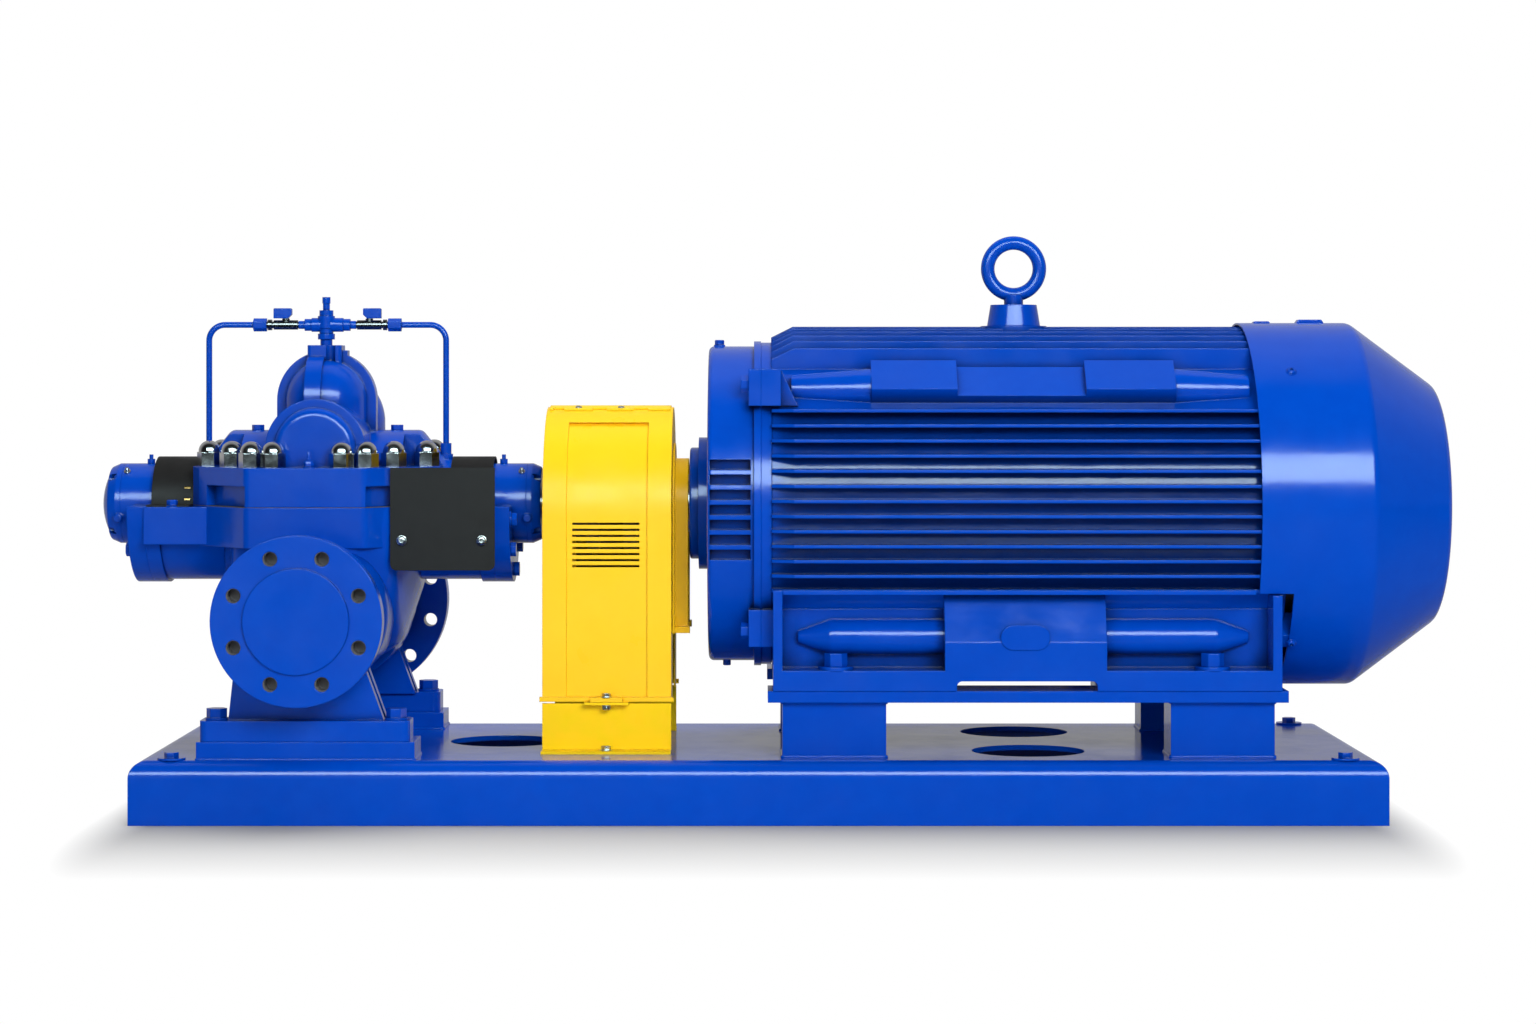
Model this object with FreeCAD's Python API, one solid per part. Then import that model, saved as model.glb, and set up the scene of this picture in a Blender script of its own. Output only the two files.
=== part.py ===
import FreeCAD, Part
import math
import os
from FreeCAD import Vector

# Frame: X runs along the shaft from pump to motor, Y away from the discharge side, Z up. Millimetres.
# The origin is the middle of the base plate's underside.

# Clearances
FIT = 0.1
SEAT_GAP = 0.3
BOLT_GAP = 0.5

# Shaft line
SHAFT_Z = 472.0
PUMP_X = -682.0

# Base plate
BASE_LENGTH = 1884.0
BASE_WIDTH = 618.0
BASE_HEIGHT = 95.5
BASE_PLATE = 8.0
BASE_BEND = 25.0
BASE_LIP = 45.0
GROUT_HOLE_RADIUS = 87.0
GROUT_HOLE_X = 415.0
GROUT_HOLE_Y = 148.0
GROUT_PUMP_HOLE_X = -400.0
CROSS_MEMBER_XS = (-640.0, -180.0, 0.0, 180.0, 640.0)
CROSS_WEB = 8.0
CROSS_FOOT = 40.0
CORNER_BOLT_X = 882.0
CORNER_BOLT_Y = 275.0
CORNER_BOLT_RADIUS = 8.0
CORNER_BOLT_FLATS = 19.0
CORNER_BOLT_HEAD = 8.0
CORNER_BOLT_LENGTH = 70.0
CORNER_WASHER_RADIUS = 21.0
CORNER_WASHER_THICK = 3.0

# Pump pads and feet
PAD_HEIGHT = 27.0
PAD_FRONT = 284.0
PAD_DEPTH = 94.0
PAD_LEFT = -162.0
PAD_RIGHT = 166.0
FOOT_FRONT = 282.0
FOOT_DEPTH = 70.0
FOOT_THICK = 31.3
FOOT_LEFT = -158.0
FOOT_RIGHT = 158.0
FOOT_CORNER = 12.0
FOOT_BOLT_OFFSET = 135.6
FOOT_BOLT_Y = 252.0
FOOT_BOLT_RADIUS = 9.0
FOOT_BOLT_FLATS = 27.0
FOOT_BOLT_HEAD = 14.0
FOOT_BOLT_LENGTH = 52.0
FOOT_WASHER_RADIUS = 17.0
FOOT_WASHER_THICK = 3.0
LEG_FRONT = 262.0
LEG_DEPTH = 58.0
LEG_WALL = 19.0
LEG_BOTTOM_LEFT = -117.0
LEG_BOTTOM_RIGHT = 118.0
LEG_KNEE_Z = 226.0
LEG_KNEE_LEFT = -109.0
LEG_KNEE_RIGHT = 91.0
LEG_TOP_Z = 300.0
LEG_CORE_HALF = 72.0
LEG_CORE_FOOT_HALF = 100.0

# Lower casing bowl and parting flange
BOWL_Z = 435.0
BOWL_RADIUS = 220.0
BOWL_BOTTOM_HALF = 60.0
BOWL_KNEE_HALF = 122.0
BOWL_KNEE_RADIUS = 182.0
BOWL_SIDE_HALF = 152.0
BOWL_SIDE_RADIUS = 92.0
GASKET_THICK = 0.8
LOWER_FLANGE_THICK = 62.0
UPPER_FLANGE_THICK = 60.0
UPPER_FLANGE_BAND = 28.0
POCKET_DEPTH = 15.0
POCKET_RUN = (3.0, 118.0)
FLANGE_FRONT = 220.0
FLANGE_FRONT_HALF = 91.0
FLANGE_SHOULDER = 179.0
FLANGE_SHOULDER_Y = 108.0
FLANGE_END = 192.0
FLANGE_END_Y = 84.0
FLANGE_CORNER = 14.0
FLANGE_SHIFT = -7.0

# Casing studs: distance along the shaft and across it from the pump centre
STUD_ALONG = (170.0, 125.0, 88.0, 52.0)
STUD_ACROSS = (62.0, 125.0, 176.0, 194.0)
STUD_RADIUS = 9.0
STUD_DEPTH = 44.0
CAP_NUT_FLATS = 34.0
CAP_NUT_HEX = 22.0
CAP_NUT_HEIGHT = 40.0
CAP_NUT_ROUND = 16.4
CAP_NUT_HOLE = 30.0
SPOT_FACE_RADIUS = 20.5
SPOT_FACE_HEIGHT = 50.0

# Nozzles
DISCHARGE_Z = 309.0
DISCHARGE_FACE = 376.0
DISCHARGE_FLANGE_RADIUS = 127.0
DISCHARGE_FLANGE_THICK = 32.0
DISCHARGE_BOLT_CIRCLE = 100.0
DISCHARGE_BOLT_COUNT = 8
DISCHARGE_BORE = 51.0
DISCHARGE_RAISED_RADIUS = 78.5
SUCTION_Z = 300.0
SUCTION_FLANGE_RADIUS = 158.75
SUCTION_FLANGE_THICK = 37.0
SUCTION_BOLT_CIRCLE = 135.0
SUCTION_BOLT_COUNT = 12
SUCTION_BORE = 77.0
SUCTION_RAISED_RADIUS = 108.0
RAISED_FACE = 2.0
NOZZLE_HOLE_RADIUS = 11.0
BELL_INNER_Y = 60.0
BELL_ROOT_RADIUS = 118.0
BELL_ROOT_Y = 200.0
BELL_WAIST_Y = 300.0
DISCHARGE_BELL_WAIST = 88.0
SUCTION_BELL_WAIST = 104.0
COVER_THICK = 3.0
COVER_PLUG_LENGTH = 10.0
COVER_PLUG_WALL = 3.0

# Casing waterways, as revolved about the shaft
VOLUTE_RADIUS = 168.0
VOLUTE_HALF = 36.0
EYE_CHAMBER_INNER = 50.0
EYE_CHAMBER_OUTER = 98.0
SUCTION_DUCT_RADIUS = 18.0
SUCTION_DUCT_OFFSET = 62.0
SUCTION_DUCT_Z = 360.0
SUCTION_DUCT_Y = 232.0
EYE_BORE_RADIUS = 104.0
THROAT_RADIUS = 36.0
EYE_CHAMBER_ROUND = 14.0
STUFFING_BORE = 48.0
STUFFING_INNER = 120.0
STUFFING_END = 206.0
STUFFING_NECK_RADIUS = 70.0

# Upper casing
DOME_RADIUS = 64.0
CASING_WALL = 8.0
ARCH_Z = 635.0
ARCH_RADIUS = 78.0
ARCH_HALF_DEPTH = 15.0
TOP_BOSS_OFFSET = -2.0
TOP_BOSS_RADIUS = 27.0
TOP_BOSS_Z = 721.6
TOP_BOSS_BASE = 640.0
TOP_BOSS_ROUND = 6.0
TOP_BOSS_SHOULDER = 8.0
TOP_BOSS_GROOVE = 7.0
TOP_BOSS_GROOVE_OFFSET = 8.0
KEEL_LEFT = -27.0
KEEL_RIGHT = -1.0
KEEL_RISE = 6.0
NOSE_Z = 560.0
NOSE_RADIUS = 63.0
NOSE_FRONT = 171.0
NOSE_ROUND = 12.0
THROAT_ARCH_RADIUS = 75.0
TAIL_Z = 545.0
TAIL_END = 176.0
COLLAR_RADIUS = 77.0
COLLAR_Y = 155.0
COLLAR_THICK = 15.0
LOBE_Y = 62.0
LOBE_Z = 600.0
LOBE_RADIUS = 84.0
SIDE_BLOCK_RADIUS = 116.0
SIDE_BLOCK_HALF_WIDTH = 92.0
SIDE_BLOCK_WIDE_END = 126.0
SIDE_BLOCK_SNOUT_HALF = 38.0
SIDE_BLOCK_SHOULDER = 150.0
SIDE_BLOCK_END = 188.0
SIDE_PLUG_OFFSET = 110.0
PLUG_FLATS = 17.0
PLUG_HEAD = 8.0
PLUG_RADIUS = 8.0
PLUG_DEPTH = 14.0

# Bearing arms and housings, by distance from the pump centre
ARM_START = 130.0
ARM_RADIUS = 120.0
ARM_INNER_RADIUS = 100.0
ARM_BEAM_OUTER = 128.0
ARM_BEAM_TOP = 470.0
ARM_BEAM_BOTTOM = 412.0
ARM_RING_START = 247.0
ARM_RING_END = 269.0
RING_RADIUS = 124.0
HOUSING_RING_END = 296.0
HOUSING_START = 262.0
HOUSING_END = 318.0
HOUSING_RADIUS = 63.0
HOUSING_WALL = 12.0
HOUSING_BOLT_CIRCLE = 104.0
HOUSING_BOLT_ANGLES = (-90.0, -42.0, -138.0)
HOUSING_BOLT_RADIUS = 6.0
HOUSING_BOLT_FLATS = 19.0
HOUSING_BOLT_HEAD = 8.0
HOUSING_BOLT_LENGTH = 42.0
END_COVER_END = 340.0
END_COVER_BULGE = 13.0
END_COVER_TIP_RADIUS = 57.0
END_COVER_FLANGE = 8.0
END_COVER_SPIGOT = 8.0

# Pump rotor
SHAFT_MID_RADIUS = 28.0
SHAFT_STEP_RADIUS = 27.0
SHAFT_BEARING_RADIUS = 25.0
SHAFT_END_RADIUS = 24.0
SHAFT_MID_HALF = 192.0
SHAFT_SHOULDER = 287.6
SHAFT_BEARING_END = 330.0
PUMP_SHAFT_TIP = -247.0
SLEEVE_RADIUS = 35.0
SLEEVE_START = 72.0
SLINGER_START = 238.0
SLINGER_THICK = 7.0
SLINGER_RADIUS = 56.0
PUMP_BEARING_START = 288.0
PUMP_BEARING_WIDTH = 21.0
PUMP_BEARING_RADIUS = 50.0
PUMP_BALL_RADIUS = 7.5
PUMP_BALL_COUNT = 7
IMPELLER_RADIUS = 155.0
IMPELLER_HUB_RADIUS = 46.0
IMPELLER_HUB_HALF = 70.0
IMPELLER_EYE_RADIUS = 88.0
IMPELLER_EYE_HALF = 62.0
IMPELLER_TIP_HALF = 26.0
IMPELLER_SHROUD = 6.0
IMPELLER_WEB_HALF = 3.0
VANE_COUNT = 6
VANE_THICK = 5.0
VANE_CURVE_RADIUS = 110.0
WEAR_RING_WIDTH = 14.0
PACKING_RING_COUNT = 4
PACKING_RING_WIDTH = 12.5
GLAND_THICK = 12.0
GLAND_RADIUS = 70.0
GLAND_NOSE = 14.0
GLAND_STUD_CIRCLE = 60.0
GLAND_STUD_RADIUS = 5.0
GLAND_STUD_END = 232.0
GLAND_STUD_DEPTH = 16.0
GLAND_NUT_FLATS = 16.0
GLAND_NUT_THICK = 8.0

# Packing guards, thin sheet
GUARD_SHEET = 3.0
HOOD_RADIUS = 74.0
HOOD_FLANGE = 46.0
HOOD_START = 199.5
HOOD_END = 266.0
HOOD_SLOT_LENGTH = 10.0
HOOD_SLOT_THICK = 3.5
HOOD_SLOT_HEIGHTS = (479.0, 497.0)
SKIRT_LEFT = -563.0
SKIRT_RIGHT = -403.0
SKIRT_TOP = 532.0
SKIRT_BOTTOM = 375.0
SKIRT_BACK = -185.0
SKIRT_SCREW_XS = (-545.0, -423.0)
SKIRT_SCREW_Z = 421.0
SKIRT_BOSS_RADIUS = 8.0
SMALL_SCREW_RADIUS = 3.0
SMALL_SCREW_HEAD_RADIUS = 6.5
SMALL_SCREW_HEAD = 3.5
SMALL_SCREW_LENGTH = 10.0

# Flush piping
TUBE_RADIUS = 4.75
TUBE_BORE = 3.4
TUBE_OFFSET = 187.5
TUBE_BEND = 25.0
TUBE_TOP_Z = 754.0
STEM_FITTING_TOP = 567.0
FITTING_FLATS = 19.0
FITTING_SEAT = 2.0
SIDE_NUT_OUTER = 117.0
SIDE_NUT_INNER = 96.0
VALVE_OUTER = 85.0
VALVE_INNER = 47.0
VALVE_BODY_RADIUS = 7.5
VALVE_SLEEVE = (88.0, 94.0)
VALVE_STEM_RADIUS = 4.0
HANDLE_INNER = 56.5
HANDLE_WIDTH = 12.0
HANDLE_BASE_Z = 764.0
HANDLE_HEIGHT = 16.0
HANDLE_NOTCH = 6.0
CROSS_HALF = 45.4
CROSS_COLLAR_HALF = 35.9
CROSS_BODY_HALF = 24.9
CROSS_RADIUS = 9.5
CROSS_TOP_Z = 797.9
CROSS_TIP_RADIUS = 6.4
CROSS_NECK_RADIUS = 5.5
CROSS_NECK = (777.0, 788.0)
CROSS_BODY_RADIUS = 11.0
CROSS_RING_RADIUS = 13.4
CROSS_RING = (731.0, 740.0)
CROSS_CENTRE = (748.5, 768.0)
GREASE_NIPPLE_RADIUS = 4.0
GREASE_NIPPLE_HEIGHT = 14.0

# Coupling
HUB_RADIUS = 72.0
HUB_BARREL_RADIUS = 52.0
PUMP_HUB_START = -318.0
PUMP_HUB_END = -250.0
HUB_FLANGE = 20.0
ELEMENT_GAP = 0.5
MOTOR_HUB_START = -212.0
MOTOR_HUB_END = -146.0
ELEMENT_BORE = 30.0
KEY_WIDTH = 14.0
KEY_HEIGHT = 9.0

# Coupling guard, thin sheet
COVER_LEFT = -332.0
COVER_RIGHT = -134.0
COVER_HALF_DEPTH = 165.0
COVER_ARCH_Z = 459.0
COVER_BOTTOM = 172.8
COVER_SHEET = 2.5
COVER_LIP = 6.0
COVER_LIP_HEIGHT = 7.0
COVER_LIP_OVERHANG = 4.0
COVER_EAR = 18.0
COVER_EAR_HALF = 25.0
COVER_SHAFT_HOLE = 84.0
COVER_STRIP_HALF = 44.0
STRIP_SLOTS = ((-322.0, -305.0), (-260.0, -238.0), (-195.0, -173.0))
STRIP_SLOT_DEPTH = 9.0
COVER_PANEL_LEFT = -295.0
COVER_PANEL_RIGHT = -171.0
COVER_PANEL_TOP = 600.0
COVER_PANEL_RECESS = 4.0
LOUVRE_COUNT = 8
LOUVRE_TOP_Z = 447.0
LOUVRE_PITCH = 9.3
LOUVRE_HEIGHT = 3.3
LOUVRE_LEFT = -286.0
LOUVRE_RIGHT = -183.0
BRACKET_TOP = 170.0
BRACKET_THICK = 4.0
BRACKET_FOOT = 40.0
BRACKET_TAB = 34.0
MOTOR_COLLAR_RIGHT = -110.0
MOTOR_COLLAR_HALF = 68.0
MOTOR_COLLAR_TOP = 543.0
MOTOR_COLLAR_BOTTOM = 272.0
MOTOR_COLLAR_SHEET = 3.0
MOTOR_COLLAR_SLANT = 10.0
MOTOR_COLLAR_TAB = 16.0
GUARD_SCREW_RADIUS = 4.0

# Motor pedestals
RAIL_THICK = 17.4
RAIL_LEFT = 14.0
RAIL_RIGHT = 799.0
RAIL_INNER = 158.0
RAIL_OUTER = 262.0
RISER_LEFTS = (36.0, 623.0)
RISER_WIDTH = 157.0
RISER_INNER = 160.0
RISER_OUTER = 247.0
RISER_WALL = 9.0

# Motor frame
MOTOR_FOOT_Z = 197.0
FRAME_LEFT = 4.0
FRAME_RIGHT = 780.0
FRAME_RADIUS = 252.0
FRAME_WALL = 16.0
FRAME_RING_RADIUS = 254.0
FIN_LEFT = 20.0
FIN_NOSE_DROP = 17.0
FIN_ENVELOPE = 279.0
FIN_THICK = 5.0
FIN_PITCH = 22.7
SIDE_FIN_COUNT = 13
SIDE_FIN_LOWEST = 347.0
TOP_FIN_COUNT = 13
FIN_CHAMFER = 34.0
RIDGE_ANGLE = 43.5
RIDGE_HEIGHT = 279.0
RIDGE_HALF = 32.0
RIDGE_STEP = 14.0
BULGE_ENDS = (50.0, 750.0)
BULGE_END_RADIUS = 22.0
RIDGE_PADS = ((172.0, 303.0), (499.0, 636.0))
FOOT_PANEL_OUTER = 265.0
FOOT_PANEL_INNER = 235.0
FOOT_PLATE_INNER = 150.0
FOOT_PLATE_THICK = 31.0
FOOT_PANEL_LEFT = 22.0
FOOT_PANEL_RIGHT = 789.0
FOOT_PANEL_TOP = 342.0
FOOT_BEND_Z = 271.0
FOOT_WALL_Y = 200.0
FOOT_WALL = 12.0
FOOT_RIB = 14.0
FOOT_SHELF = 7.0
FOOT_SHELF_RIGHT = 750.0
FOOT_BULLET_RADIUS = 27.0
FOOT_BULLET_NOSE = 50.0
FOOT_BULLET_Y = 205.0
FOOT_BULLET_Z = 275.0
FOOT_BULLET_XS = (60.0, 745.0)
FOOT_CENTRE = (281.0, 525.0)
FOOT_RELIEF = (299.0, 511.0)
FOOT_RELIEF_HEIGHT = 15.0
FOOT_RELIEF_ROUND = 8.0
MOTOR_BOLT_XS = (117.0, 687.0)
MOTOR_BOLT_Y = 240.0
MOTOR_BOLT_RADIUS = 10.0
MOTOR_BOLT_FLATS = 30.0
MOTOR_BOLT_HEAD = 20.0
MOTOR_BOLT_LENGTH = 52.0
MOTOR_PAD_RADIUS = 27.0
MOTOR_PAD_HEIGHT = 5.0
OVAL_PLATE_X = 402.0
OVAL_PLATE_Z = 278.0
OVAL_PLATE_HALF = 37.0
OVAL_PLATE_RADIUS = 19.0
OVAL_PLATE_THICK = 2.0

# Motor end shields, caps and fan cover
SHIELD_LEFT = -78.0
SHIELD_HUB_RADIUS = 138.0
SHIELD_RADIUS = 248.0
SHIELD_INNER_RADIUS = 222.0
SHIELD_RING_RADIUS = 256.0
SHIELD_RING = 11.0
SHIELD_ROUND = 8.0
SHIELD_RECESS = 20.0
SHIELD_WEB = 10.0
SHIELD_RIB_TOP = 549.0
SHIELD_POCKET_COUNT = 7
SHIELD_POCKET_DEPTH = 16.0
SHIELD_FACE_RIBS = 8
SHIELD_RIB_THICK = 7.0
SHIELD_BOLT_RADIUS = 7.0
SHIELD_BOLT_FLATS = 22.0
SHIELD_BOLT_HEAD = 12.0
SHIELD_BOLT_LENGTH = 44.0
LUG_LEFT = -15.0
LUG_RIGHT = 34.0
LUG_Y = 205.0
LUG_RISE = 183.0
LUG_BOLT_RISE = 188.0
LUG_HALF_WIDTH = 20.0
LUG_HALF_HEIGHT = 28.0
GUSSET = 26.0
CAP_LEFT = -108.0
CAP_RADIUS = 104.0
CAP_STEP_RADIUS = 88.0
CAP_STEP = 14.0
FAN_SHIELD_RIGHT = 802.0
FAN_COVER_LEFT = 756.0
FAN_COVER_RADIUS = 285.0
FAN_COVER_SHEET = 3.0
FAN_COVER_SHOULDER = 928.0
FAN_COVER_END = 1061.0
FAN_COVER_END_RADIUS = 187.0
FAN_COVER_ROUND = 18.0
FAN_COVER_DOME = 9.0
FAN_NOTCH_TOP = 343.0
FAN_NOTCH_RIGHT = 808.0
GRILLE_INNER = 46.0
GRILLE_SLOT_ROWS = 3
GRILLE_SLOTS = 16
GRILLE_SLOT_WIDTH = 9.0
GRILLE_RIB = 8.0
FAN_LEFT = 850.0
FAN_RIGHT = 905.0
FAN_RADIUS = 240.0
FAN_HUB_RADIUS = 62.0
FAN_BLADES = 8
FAN_BLADE_THICK = 4.0
FAN_DISC_THICK = 5.0
COVER_LUG_ANGLES = (46.6, 133.4, -46.6, -133.4)
COVER_LUG_LEFT = 792.0
COVER_LUG_RIGHT = 823.0
COVER_LUG_HALF = 14.0

# Motor rotor
MOTOR_SHAFT_TIP = -210.0
MOTOR_SHAFT_RADIUS = 43.0
MOTOR_JOURNAL_RADIUS = 45.0
MOTOR_CORE_SHAFT_RADIUS = 52.0
MOTOR_SHAFT_TAIL = 908.0
MOTOR_BEARING_RADIUS = 95.0
MOTOR_BEARING_WIDTH = 42.0
MOTOR_BEARING_LEFT = -72.0
MOTOR_TAIL_BEARING_LEFT = 752.0
MOTOR_BALL_RADIUS = 14.0
MOTOR_BALL_COUNT = 7
CORE_LEFT = 130.0
CORE_RIGHT = 640.0
CORE_RADIUS = 146.0
AIR_GAP = 1.5
WINDING_LENGTH = 80.0
WINDING_OUTER = 205.0

# Terminal box on the far side of the frame
BOX_LEFT = 250.0
BOX_RIGHT = 510.0
BOX_BOTTOM = 360.0
BOX_TOP = 580.0
BOX_DEPTH = 110.0
BOX_WALL = 6.0
BOX_ROUND = 14.0
BOX_LID = 8.0
BOX_LID_EDGE = 6.0
BOX_NECK = 100.0
GLAND_HOLE_RADIUS = 20.0

# Lifting eye
EYE_X = 403.7
EYE_Z = 842.7
EYE_RING_RADIUS = 40.9
EYE_ROD_RADIUS = 10.8
EYE_BOSS_TOP = 785.5
EYE_BOSS_WIDE = 42.0
EYE_BOSS_NARROW = 36.5
EYE_PAD_RADIUS = 52.0
EYE_PAD_TOP = 752.0
EYE_SHANK = 30.0
EYE_THREAD_RADIUS = 14.0

# Worked out from the sizes above
X_AXIS = Vector(1, 0, 0)
Y_AXIS = Vector(0, 1, 0)
Z_AXIS = Vector(0, 0, 1)
SIDES = (-1, 1)
PAD_TOP = BASE_HEIGHT + PAD_HEIGHT
FOOT_TOP = PAD_TOP + FOOT_THICK
LOWER_TOP = SHAFT_Z - GASKET_THICK / 2
UPPER_BOTTOM = SHAFT_Z + GASKET_THICK / 2
FLANGE_TOP = SHAFT_Z + UPPER_FLANGE_THICK
RAIL_TOP = MOTOR_FOOT_Z
STEM_FITTING_BASE = SHAFT_Z + STUFFING_NECK_RADIUS - FITTING_SEAT
RAIL_BOTTOM = MOTOR_FOOT_Z - RAIL_THICK
EVERYWHERE = 4000.0


def box(x0, x1, y0, y1, z0, z1):
    return Part.makeBox(x1 - x0, y1 - y0, z1 - z0, Vector(x0, y0, z0))


def rod_x(radius, x0, x1, y=0.0, z=SHAFT_Z):
    return Part.makeCylinder(radius, x1 - x0, Vector(x0, y, z), X_AXIS)


def rod_y(radius, y0, y1, x, z):
    return Part.makeCylinder(radius, y1 - y0, Vector(x, y0, z), Y_AXIS)


def rod_z(radius, z0, z1, x, y):
    return Part.makeCylinder(radius, z1 - z0, Vector(x, y, z0), Z_AXIS)


def tube_x(outer, inner, x0, x1, y=0.0, z=SHAFT_Z):
    return rod_x(outer, x0, x1, y, z).cut(rod_x(inner, x0 - 1, x1 + 1, y, z))


def fuse(shapes):
    shapes = list(shapes)
    whole = shapes[0]
    if len(shapes) > 1:
        whole = whole.fuse(shapes[1:])
    return whole.removeSplitter()


def cut(shape, tools):
    return shape.cut(list(tools))


def flat_face(corners, place):
    """Flat face through corners (a, b) or (a, b, radius); a radius is a tangent arc at that corner."""
    points = [Vector(corner[0], corner[1], 0) for corner in corners]
    stops = []
    for index, corner in enumerate(corners):
        here = points[index]
        before = (points[index - 1] - here).normalize()
        after = (points[(index + 1) % len(points)] - here).normalize()
        radius = corner[2] if len(corner) > 2 else 0
        if radius == 0:
            stops.append((here, None, here))
            continue
        half = before.getAngle(after) / 2
        reach = radius / math.tan(half)
        middle = (before + after).normalize()
        crown = here + middle * (radius / math.sin(half) - radius)
        stops.append((here + before * reach, crown, here + after * reach))
    edges = []
    for index, (start, crown, end) in enumerate(stops):
        if crown is not None:
            edges.append(Part.Arc(place(start), place(crown), place(end)).toShape())
        following = stops[(index + 1) % len(stops)][0]
        if end.distanceToPoint(following) > 1e-6:
            edges.append(Part.LineSegment(place(end), place(following)).toShape())
    return Part.Face(Part.Wire(edges))


def prism_x(corners, x0, x1):
    face = flat_face(corners, lambda p: Vector(x0, p.x, p.y))
    return face.extrude(Vector(x1 - x0, 0, 0))


def prism_y(corners, y0, y1):
    face = flat_face(corners, lambda p: Vector(p.x, y0, p.y))
    return face.extrude(Vector(0, y1 - y0, 0))


def prism_z(corners, z0, z1):
    face = flat_face(corners, lambda p: Vector(p.x, p.y, z0))
    return face.extrude(Vector(0, 0, z1 - z0))


def spin_x(corners, x, z=SHAFT_Z):
    """Revolve corners (distance along X from x, radius) about an X axis at height z."""
    face = flat_face(corners, lambda p: Vector(x + p.x, 0, z + p.y))
    return face.revolve(Vector(x, 0, z), X_AXIS, 360)


def spin_y(corners, x, z):
    face = flat_face(corners, lambda p: Vector(x + p.y, p.x, z))
    return face.revolve(Vector(x, 0, z), Y_AXIS, 360)


def spin_z(corners, x, y):
    face = flat_face(corners, lambda p: Vector(x + p.y, y, p.x))
    return face.revolve(Vector(x, y, 0), Z_AXIS, 360)


def hexagon(flats, length, base, direction):
    """Six-sided prism on a base point, with two flats square to the Z axis, or to Y for a Z direction."""
    turn = FreeCAD.Rotation(Z_AXIS, direction)
    corner_radius = flats / math.sqrt(3)
    corners = []
    for index in range(6):
        angle = math.radians(60 * index)
        spoke = Vector(corner_radius * math.cos(angle), corner_radius * math.sin(angle), 0)
        corners.append(base + turn.multVec(spoke))
    corners.append(corners[0])
    return Part.Face(Part.makePolygon(corners)).extrude(direction * length)


def bolt(seat, direction, radius, length, flats, head, washer_radius=0.0, washer_thick=0.0):
    """Hex bolt whose head stands on the seat along the direction, its shank running the other way."""
    top = seat + direction * washer_thick
    shapes = [
        hexagon(flats, head, top, direction),
        Part.makeCylinder(radius, length + washer_thick, top, direction * -1),
    ]
    if washer_radius:
        shapes.append(Part.makeCylinder(washer_radius, washer_thick, seat, direction))
    return fuse(shapes)


def screw(seat, direction, radius, length, head_radius, head):
    shapes = [
        Part.makeCone(head_radius, head_radius * 0.7, head, seat, direction),
        Part.makeCylinder(radius, length, seat, direction * -1),
    ]
    return fuse(shapes)


def mirror_y(shape):
    return shape.mirror(Vector(0, 0, 0), Y_AXIS)


def mirror_at_pump(shape):
    return shape.mirror(Vector(PUMP_X, 0, 0), X_AXIS)


def both_sides(shape):
    return [shape, mirror_y(shape)]


def both_ends(shape):
    """The shape and its twin at the other end of the pump."""
    return [shape, mirror_at_pump(shape)]


def below(z):
    return box(-EVERYWHERE, EVERYWHERE, -EVERYWHERE, EVERYWHERE, z - EVERYWHERE, z)


def above(z):
    return box(-EVERYWHERE, EVERYWHERE, -EVERYWHERE, EVERYWHERE, z, z + EVERYWHERE)


def edges_where(shape, test):
    found = []
    for edge in shape.Edges:
        if all(test(vertex.Point) for vertex in edge.Vertexes):
            found.append(edge)
    return found


def export(name, shapes):
    shapes = shapes if isinstance(shapes, list) else [shapes]
    solids = [solid for shape in shapes for solid in shape.Solids]
    whole = solids[0] if len(solids) == 1 else Part.makeCompound(solids)
    whole.exportStep(os.path.join("parts", name + ".step"))


# Base

def grout_holes():
    places = [(GROUT_HOLE_X, GROUT_HOLE_Y), (GROUT_HOLE_X, -GROUT_HOLE_Y), (GROUT_PUMP_HOLE_X, 0.0)]
    return [rod_z(GROUT_HOLE_RADIUS, 0, BASE_HEIGHT + 1, x, y) for x, y in places]


def corner_places():
    return [(sx * CORNER_BOLT_X, sy * CORNER_BOLT_Y) for sx in SIDES for sy in SIDES]


def base_frame():
    length, width = BASE_LENGTH / 2, BASE_WIDTH / 2
    outer = box(-length, length, -width, width, 0, BASE_HEIGHT)
    outer = outer.makeFillet(BASE_BEND, edges_where(outer, lambda p: p.z > BASE_HEIGHT - 1))
    length, width = length - BASE_PLATE, width - BASE_PLATE
    under_deck = BASE_HEIGHT - BASE_PLATE
    inner = box(-length, length, -width, width, BASE_PLATE, under_deck)
    inner = inner.makeFillet(BASE_BEND - BASE_PLATE, edges_where(inner, lambda p: p.z > under_deck - 1))
    length, width = length - BASE_LIP, width - BASE_LIP
    mouth = box(-length, length, -width, width, -1, BASE_PLATE + 1)
    bolt_holes = [rod_z(CORNER_BOLT_RADIUS + BOLT_GAP, 1, BASE_HEIGHT + 1, x, y) for x, y in corner_places()]
    grout = grout_holes()
    return cut(outer, [inner, mouth] + grout + bolt_holes)


def base_cross_members():
    half = BASE_WIDTH / 2 - BASE_PLATE
    under_deck = BASE_HEIGHT - BASE_PLATE
    members = []
    for x in CROSS_MEMBER_XS:
        bend = BASE_BEND - BASE_PLATE + SEAT_GAP
        web = prism_x([(-half, BASE_PLATE), (half, BASE_PLATE), (half, under_deck, bend),
                       (-half, under_deck, bend)], x - CROSS_WEB / 2, x + CROSS_WEB / 2)
        inside_lips = half - BASE_LIP
        foot = box(x - CROSS_FOOT / 2, x + CROSS_FOOT / 2, -inside_lips, inside_lips, 0, BASE_PLATE)
        members.append(fuse([web, foot]))
    return members


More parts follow.
